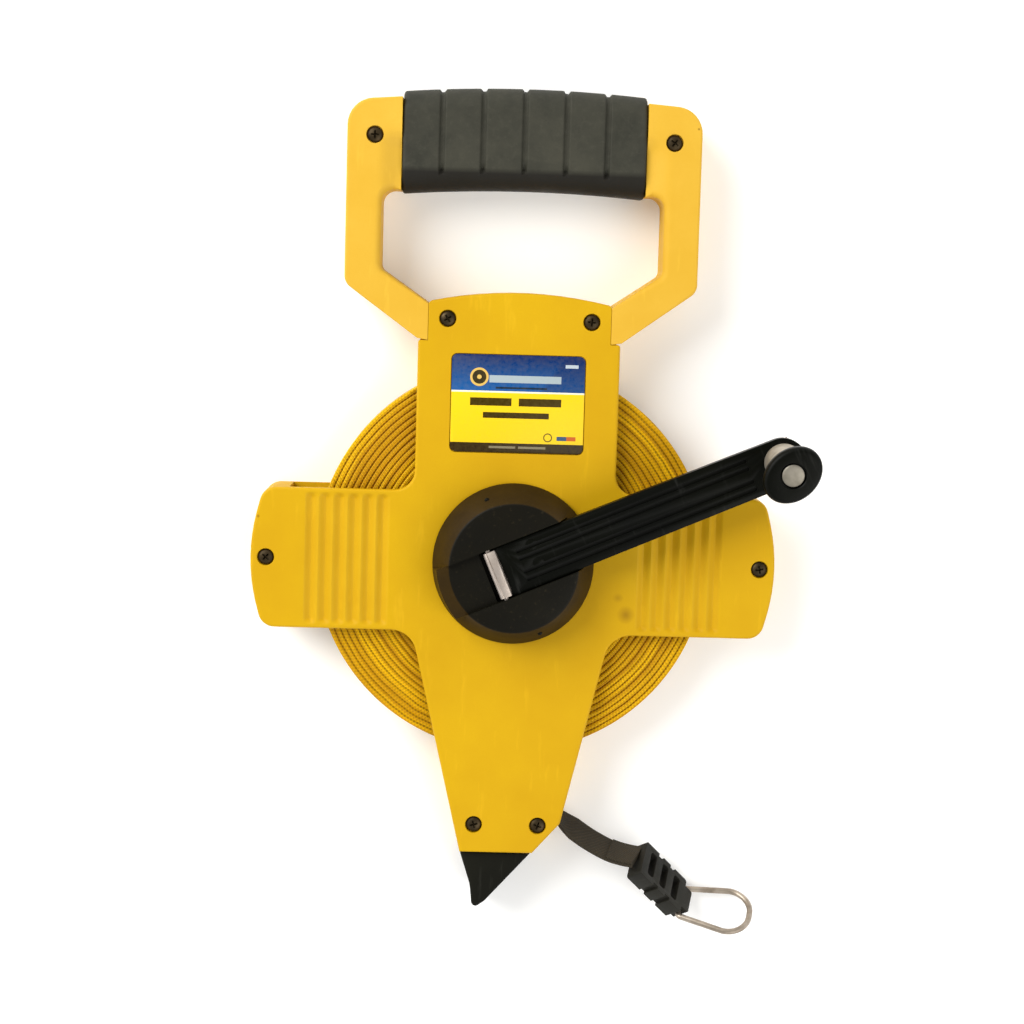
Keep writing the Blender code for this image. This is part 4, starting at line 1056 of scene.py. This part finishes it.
def coil_heights(half):
    """How high each turn stands over the coil's middle: in groups, each a little high or low."""
    chance = Random(5)
    heights = []
    for _ in range(int((COIL_OUTER - COIL_INNER) / (TURN_PITCH * GROUP_TURNS))):
        level = chance.uniform(0.1, 0.35) * MM
        heights.append(half - level - 0.7 * MM)
        for _ in range(GROUP_TURNS - 1):
            heights.append(half - level - chance.uniform(0.0, 0.16) * MM)
    return heights


def build_coil():
    """The turns drift off the axis as they grow."""
    middle = (COIL_LOW + COIL_TOP) / 2
    heights = coil_heights((COIL_TOP - COIL_LOW) / 2)
    face = []
    for k, z in enumerate(heights):
        r = COIL_INNER + TURN_PITCH * k
        face += [(r + 0.05 * MM, z - 0.3 * MM), (r + 0.15 * MM, z), (r + TURN_PITCH - 0.1 * MM, z)]
    face.append((COIL_INNER + TURN_PITCH * len(heights), heights[-1] - 0.2 * MM))
    top = [(r, middle + z) for r, z in face]
    bottom = [(r, middle - z) for r, z in reversed(face)]
    sections = []
    for r, z in top + bottom:
        drift = COIL_DRIFT * ((r - COIL_INNER) / (COIL_OUTER - COIL_INNER)) ** 2
        sections.append(lift(circle(drift.x, drift.y, r, 144), z))
    coil = add_piece("wound_tape", loft(sections, closed=True))
    dress(coil, "reel", ["tape_coil"], TAPE, 40)


def build_tape_run():
    """The stretch of tape behind the foot, on a tangent of the coil to the mouth."""
    mouth = TAPE_EXIT.to_2d()
    touch_r = COIL_R + 2 * GAP
    bearing = atan2(mouth.y, mouth.x) - acos(touch_r / mouth.length)
    touch = touch_r * Vector((cos(bearing), sin(bearing)))
    ahead = (mouth - touch).normalized()
    side = Vector((-ahead.y, ahead.x)) * TAPE_T / 2
    start = touch + ahead * TAPE_HIDDEN
    end = mouth - ahead * 2 * GAP
    count = 24
    row = [start.lerp(end, k / count) for k in range(count + 1)]
    outline = [p - side for p in row] + [p + side for p in reversed(row)]
    low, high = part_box("tape_run")
    lead = add_piece("tape_lead", prisms([outline], low.z, high.z))
    dress(lead, "frame", ["tape_run"], TAPE, 30)


# The hub, in a frame whose X runs along the crank, and the crank, in one on the hinge's axis.

REEL = Matrix.Rotation(CRANK_ANGLE, 4, "Z")
CRANK = REEL @ Matrix.Translation((HINGE_S, 0, HINGE_Z))
LEAN = Matrix.Rotation(-KNOB_LEAN_IN, 4, "Y") @ Matrix.Rotation(KNOB_LEAN_SIDE, 4, "X")
KNOB_X = CRANK_R - HINGE_S
KNOB = CRANK @ Matrix.Translation((KNOB_X, 0, ARM_TOP)) @ LEAN


def hub_rest():
    """The flat step behind the hinge, where the folded arm can lie."""
    half_turn = asin(GROOVE_HALF / HUB_R)
    angles = [half_turn * (k / 8 - 1) for k in range(17)]
    levels = []
    for z, reach in ((HUB_BASE + MM, HUB_R), (PLATEAU_Z, REST_TOP_R)):
        rim = [Vector((-reach * cos(a), -HUB_R * sin(a), z)) for a in angles]
        levels.append([Vector((0, GROOVE_HALF, z)), *rim, Vector((0, -GROOVE_HALF, z))])
    return loft(levels)


def build_hub():
    """The cone with the crank's deep groove on one side and a shallow one on the other."""
    profile = [
        (0, HUB_BASE), (HUB_R, HUB_BASE), (HUB_R, HUB_BASE + 1.3 * MM),
        (HUB_R - 0.3 * MM, HUB_RIM_Z), (HUB_TOP_R + 0.4 * MM, HUB_TOP - 0.5 * MM),
        (HUB_TOP_R - 0.1 * MM, HUB_TOP - 0.1 * MM), (HUB_TOP_R - 0.5 * MM, HUB_TOP), (0, HUB_TOP),
    ]
    hub = add_piece("hub_cone", turned(profile, 144), REEL)
    carve(hub, [hub_rest()], "UNION")
    shallow = box_outline(-HUB_R - MM, -GROOVE_HALF, 0, GROOVE_HALF)
    deep = box_outline(HINGE_S - DEEP_START, -GROOVE_HALF, HUB_R + MM, GROOVE_HALF)
    tools = [prisms([shallow], PLATEAU_Z, HUB_TOP + MM)]
    tools.append(prisms([deep], GROOVE_FLOOR, HUB_TOP + MM))
    tools.append(prisms([circle(0, 0, JOURNAL_R + GAP, 64)], HUB_BASE - MM, FRAME_T + 1.3 * MM))
    carve(hub, tools)
    soften(hub, 0.3 * MM, 2, 40)
    dress(hub, "reel", ["crank_hub"], HUB, 30)
    slope = (HUB_TOP - HUB_RIM_Z) / (HUB_R - HUB_TOP_R)
    z = HUB_TOP - (PIP_PLACE_R - HUB_TOP_R) * slope
    cap = [(PIP_R * cos(radians(d)), PIP_R * PIP_RISE * sin(radians(d))) for d in (0, 30, 60)]
    for number, side in enumerate((1, -1), 1):
        pip = turned([(0, -MM), (PIP_R, -MM), *cap, (0, PIP_R * PIP_RISE)], 24)
        place = REEL @ Matrix.Translation((0, side * PIP_PLACE_R, z))
        dress(add_piece(f"hub_pip_{number}", pip, place), "reel", [], BLACK)


def arm_outline():
    end_r = ARM_W_END / 2
    turn = [pi * k / 32 for k in range(33)]
    tip = [Vector((KNOB_X + end_r * sin(a), -end_r * cos(a))) for a in turn]
    return [Vector((ARM_START, ARM_W_HUB / 2)), Vector((ARM_START, -ARM_W_HUB / 2))] + tip


def build_arm():
    """The fluted cover, hollow for the strip, with two small ring marks near the hub."""
    arm = add_piece("arm_cover", prisms([arm_outline()], ARM_BOTTOM, ARM_TOP), CRANK)
    channel = box_outline(ARM_START - MM, -STRIP_W / 2 - GAP, KNOB_X + 5 * MM, STRIP_W / 2 + GAP)
    flutes = [
        rounded_box(FLUTE_START, y - FLUTE_HALF, FLUTE_END, y + FLUTE_HALF, FLUTE_HALF * 0.9, 4)
        for y in FLUTE_ROWS
    ]
    low, high = ARM_TOP - MARK_DEPTH, ARM_TOP + MM
    mark = [(MARK_OUTER_R, low), (MARK_OUTER_R, high), (MARK_INNER_R, high), (MARK_INNER_R, low)]
    tools = [prisms([channel], -EYE_R - GAP, -EYE_R + STRIP_T + GAP)]
    tools.append(prisms(flutes, ARM_TOP - FLUTE_DEPTH, high))
    carve(arm, tools + [turned(mark, 32, [(MARK_X, y)]) for y in MARK_ROWS])
    soften(arm, 0.22 * MM, 2, 40)
    dress(arm, "crank", ["crank_arm"], COVER, 30)


def build_strip():
    """The steel strip, with a flat-topped rolled eye round the hinge pin."""
    corners = [(EYE_BACK, -EYE_R, 1.3 * MM), (EYE_FRONT, -EYE_R, 0.3 * MM)]
    corners += [(EYE_FRONT, EYE_R, 0.7 * MM), (EYE_BACK, EYE_R, 1.3 * MM)]
    strip = add_piece("steel_strip", side_prism(rounded(corners, 6), EYE_HALF_W), CRANK)
    tail = box_outline(EYE_FRONT - MM, -EYE_R, KNOB_X + 4.5 * MM, STRIP_T - EYE_R)
    carve(strip, [side_prism(tail, STRIP_W / 2)], "UNION")
    seam = box_outline(EYE_BACK + 1.2 * MM, EYE_R - 0.5 * MM, EYE_BACK + 1.55 * MM, EYE_R + MM)
    bore = circle(0, 0, PIN_R + GAP / 2, 24)
    carve(strip, [side_prism(outline, EYE_HALF_W + MM) for outline in (seam, bore)])
    soften(strip, 0.12 * MM, 2, 40)
    dress(strip, "crank", ["crank_strip"], STEEL, 30)


def cap_ring(z, shrink):
    """One level of the oval cap, whose long side leans off the arm's line."""
    turn = Matrix.Rotation(CAP_LEAN, 2)
    long, short = CAP_HALF_LONG - shrink, CAP_HALF_SHORT - shrink
    angles = [2 * pi * k / 96 for k in range(96)]
    return lift([turn @ Vector((long * cos(a), short * sin(a))) for a in angles], z)


def build_neck(base):
    """The steel sleeve that the fingers hold, faintly waisted."""
    top = base + NECK_H
    bore = SHANK_R + GAP
    profile = [
        (bore, base), (NECK_R - NECK_FLARE, base), (NECK_R, base + NECK_FLARE),
        (NECK_R - 0.05 * MM, base + NECK_H / 2), (NECK_R, top - NECK_FLARE),
        (NECK_R - NECK_FLARE, top), (bore, top),
    ]
    neck = add_piece("knob_sleeve", turned(profile, 96), KNOB)
    dress(neck, "knob", ["knob_neck"], NECK, 40)


def build_cap(low):
    """The oval cap, sunk in its middle for the rivet's head."""
    high = low + CAP_T
    rings = [cap_ring(low + z * MM, shrink * MM) for z, shrink in CAP_ROWS]
    cap = add_piece("knob_button", loft(rings), KNOB)
    seat_r, mouth_r = RIVET_R + 0.7 * MM, RIVET_R + 1.1 * MM
    seat = [(0, high - RIVET_HEAD), (seat_r, high - RIVET_HEAD), (seat_r, high - 0.2 * MM)]
    seat += [(mouth_r, high + 0.1 * MM), (mouth_r, high + MM), (0, high + MM)]
    carve(cap, [turned(seat, 64)])
    dress(cap, "knob", ["knob_cap"], COVER, 35)


def build_rivet(high):
    """The rivet from under the arm to its domed head in the cap."""
    foot = ARM_BOTTOM - ARM_TOP + 0.3 * MM
    angles = [radians(d) for d in (0, 20, 40, 58, 74)]
    dome = [(RIVET_R * cos(a), high - 0.5 * MM + 0.4 * MM * sin(a)) for a in angles]
    foot_top, head_low = foot + RIVET_FOOT, high - RIVET_HEAD + GAP
    profile = [(0, foot), (RIVET_R, foot), (RIVET_R, foot_top), (SHANK_R, foot_top)]
    profile += [(SHANK_R, head_low), (RIVET_R, head_low), *dome, (0, high - 0.1 * MM)]
    rivet = add_piece("rivet_body", turned(profile, 64), KNOB)
    dress(rivet, "crank", ["knob_rivet"], RIVET, 30)


def build_knob():
    base = NECK_R * sin(KNOB_LEAN_SIDE + KNOB_LEAN_IN) * 0.8 + GAP
    cap_low = base + NECK_H + GAP
    build_neck(base)
    build_cap(cap_low)
    build_rivet(cap_low + CAP_T)


# Leader, clip and ring.


def clip_axes():
    along = CLIP_ALONG.normalized()
    wide = (CLIP_WIDE - along * CLIP_WIDE.dot(along)).normalized()
    return along, wide, along.cross(wide)


def placed(origin, axes):
    """The matrix of a frame with this origin and these three axes."""
    return Matrix.Translation(origin) @ Matrix(axes).transposed().to_4x4()


def leader_route():
    along, _, thick = clip_axes()
    end = CLIP_CENTRE - along * (CLIP_SIZE.x / 2 + 0.6 * MM) - thick * 0.5 * MM
    return [TAPE_EXIT, *(Vector(bend) for bend in LEADER_BENDS), end]


def along_route(points, t):
    """A point at t, from 0 to 1, on a smooth curve through every one of the points."""
    place = t * (len(points) - 1)
    i = min(int(place), len(points) - 2)
    u = place - i
    p1, p2 = points[i : i + 2]
    p0 = points[i - 1] if i > 0 else p1 * 2 - p2
    p3 = points[i + 2] if i + 2 < len(points) else p2 * 2 - p1
    bend = p0 * 2 - p1 * 5 + p2 * 4 - p3
    twist = p1 * 3 - p0 - p2 * 3 + p3
    return p1 + ((p2 - p0) * u + bend * u ** 2 + twist * u ** 3) / 2


def strap_band(name, start, offset, thickness, width, nodes):
    """The strap from a place on its route to the clip, offset to one face."""
    route = leader_route()
    lean = STRAP_LEAN.normalized()
    half_w, half_t = width / 2, thickness / 2
    corners = rounded_box(-half_w, -half_t, half_w, half_t, half_t * 0.9, 3)
    sections = []
    steps = 60
    for k in range(steps + 1):
        t = start + (1 - start) * k / steps
        place = along_route(route, t)
        ahead = along_route(route, min(1, t + 0.02)) - along_route(route, max(0, t - 0.02))
        ahead.normalize()
        edge = Vector((0, 0, 1)).lerp(lean, min(1.0, 3 * t))
        edge = (edge - ahead * edge.dot(ahead)).normalized()
        face = ahead.cross(edge).normalized()
        sections.append([place + edge * p.x + face * (p.y + offset) for p in corners])
    dress(add_piece(name, loft(sections)), "frame", nodes, STRAP, 50)


def build_clip():
    """A buckle with three slots for the strap and an eye for the ring."""
    x, y, z = CLIP_SIZE / 2
    nose_x, nose_y = x + CLIP_NOSE, CLIP_NOSE_HALF
    top = [(x, nose_y, 0), (x, y, CLIP_CORNER_R), (-x, y, CLIP_CORNER_R)]
    nose = [(nose_x, -nose_y, 0.8 * MM), (nose_x, nose_y, 0.8 * MM)]
    bottom = [(a, -b, r) for a, b, r in reversed(top)]
    outline = rounded(bottom + nose + top)
    clip = add_piece("buckle", prisms([outline], -z, z), placed(CLIP_CENTRE, clip_axes()))
    cuts = [
        rounded_box(s - x - SLOT_HALF, -SLOT_REACH, s - x + SLOT_HALF, SLOT_REACH, CLIP_CORNER_R, 5)
        for s in SLOT_PLACES
    ]
    cuts += [
        box_outline(s - x - NOTCH_HALF, edge - NOTCH_DEPTH, s - x + NOTCH_HALF, edge + NOTCH_DEPTH)
        for s in NOTCH_PLACES
        for edge in (-y, y)
    ]
    eye = circle(x + CLIP_EYE.x, CLIP_EYE.z, WIRE_R + 0.15 * MM, 24)
    carve(clip, [prisms(cuts, -z - MM, z + MM), side_prism(eye, y)])
    soften(clip, 0.4 * MM, 3, 40)
    dress(clip, "frame", ["end_clip"], CLIP, 35)


def ring_matrix():
    along, wide, thick = clip_axes()
    reach = along * cos(RING_TURN) - thick * sin(RING_TURN)
    hinge = placed(CLIP_CENTRE, clip_axes()) @ (Vector((CLIP_SIZE.x / 2, 0, 0)) + CLIP_EYE)
    return placed(hinge, (reach, wide, reach.cross(wide)))


def build_ring():
    end_r = RING_FAR_HALF - 0.9 * MM
    half = [
        (RING_REACH, RING_FAR_HALF, end_r), (RING_REACH - end_r, RING_FAR_HALF, 0),
        (0, RING_BASE_HALF, RING_BEND),
    ]
    centre_line = rounded([(x, -y, r) for x, y, r in reversed(half)] + half, 16)
    count = len(centre_line)
    angles = [2 * pi * k / 16 for k in range(16)]
    up = Vector((0, 0, 1))
    sections = []
    for i, here in enumerate(centre_line):
        ahead = (centre_line[(i + 1) % count] - centre_line[i - 1]).normalized()
        out = Vector((ahead.y, -ahead.x, 0))
        sections.append([here.to_3d() + WIRE_R * (out * cos(a) + up * sin(a)) for a in angles])
    bm = loft(sections, closed=True)
    bm.transform(ring_matrix())
    dress(add_piece("wire_ring", bm), "ring", ["hook_ring"], WIRE, 60)


def dress_plain_nodes():
    """The hidden or plain parts keep their CAD shape and get a finish."""
    looks = {
        "drum": YELLOW,
        "thrust_washer": BLACK,
        "mouth_pin": STEEL,
        "hinge_pin": STEEL,
        "hub_screw_1": SCREW,
        "hub_screw_2": SCREW,
    }
    for name, look in looks.items():
        node = NODES[name]
        node.data.materials.clear()
        node.data.materials.append(look)


build_frame_half("frame_front_shell", "front_frame", False)
build_frame_half("frame_rear_shell", "rear_frame", True)
build_label()
build_screws()
build_handle_half("handle_front_shell", "handle_front", False)
build_handle_half("handle_rear_shell", "handle_rear", True)
build_grip()
build_spike()
build_coil()
build_tape_run()
build_hub()
build_arm()
build_strip()
build_knob()
strap_band("leader_band", 0.0, 0.0, STRAP_T, TAPE_WIDTH, ["leader_strap"])
strap_band("leader_fold", FOLD_FROM, FOLD_OFFSET, FOLD_T, TAPE_WIDTH - FOLD_INSET, [])
build_clip()
build_ring()
dress_plain_nodes()


# Studio.


def build_floor():
    bm = bmesh.new()
    bmesh.ops.create_grid(bm, x_segments=12, y_segments=12, size=FLOOR_REACH)
    floor = add_piece("floor", bm)
    floor.location.z = -0.2 * MM
    floor.data.materials.append(floor_look())


def build_world():
    """A pale sky that is brightest low at the sides and dim overhead."""
    world = bpy.data.worlds.new("studio")
    bpy.context.scene.world = world
    world.use_nodes = True
    nodes, links = world.node_tree.nodes, world.node_tree.links
    split = nodes.new("ShaderNodeSeparateXYZ")
    links.new(nodes.new("ShaderNodeTexCoord").outputs["Generated"], split.inputs[0])
    level = nodes.new("ShaderNodeMapRange")
    ends = {"From Min": 0.55, "From Max": 0.92, "To Min": SKY_LOW, "To Max": SKY_TOP}
    for key, value in ends.items():
        level.inputs[key].default_value = value
    links.new(split.outputs[2], level.inputs["Value"])
    background = nodes["Background"]
    background.inputs["Color"].default_value = (1.0, 1.0, 1.0, 1.0)
    links.new(level.outputs[0], background.inputs["Strength"])


def add_light(name, place, target, size, power):
    light = bpy.data.lights.new(name, "AREA")
    light.shape = "DISK"
    light.size = size
    light.energy = power
    light.color = LIGHT_TINT
    obj = add_object(name, light)
    obj.location = place
    obj.rotation_euler = (Vector(target) - Vector(place)).to_track_quat("-Z", "Y").to_euler()


def build_camera():
    data = bpy.data.cameras.new("camera")
    data.lens = LENS
    data.sensor_width = SENSOR
    data.clip_start = 0.05
    data.clip_end = 20.0
    turn = (CAMERA_RIGHT, CAMERA_UP, CAMERA_BACK)
    bpy.context.scene.camera = add_object("camera", data, placed(Vector(CAMERA_PLACE) * MM, turn))


build_floor()
build_world()
for lamp in LIGHTS:
    add_light(*lamp)
bpy.context.scene.view_settings.view_transform = "Standard"
build_camera()
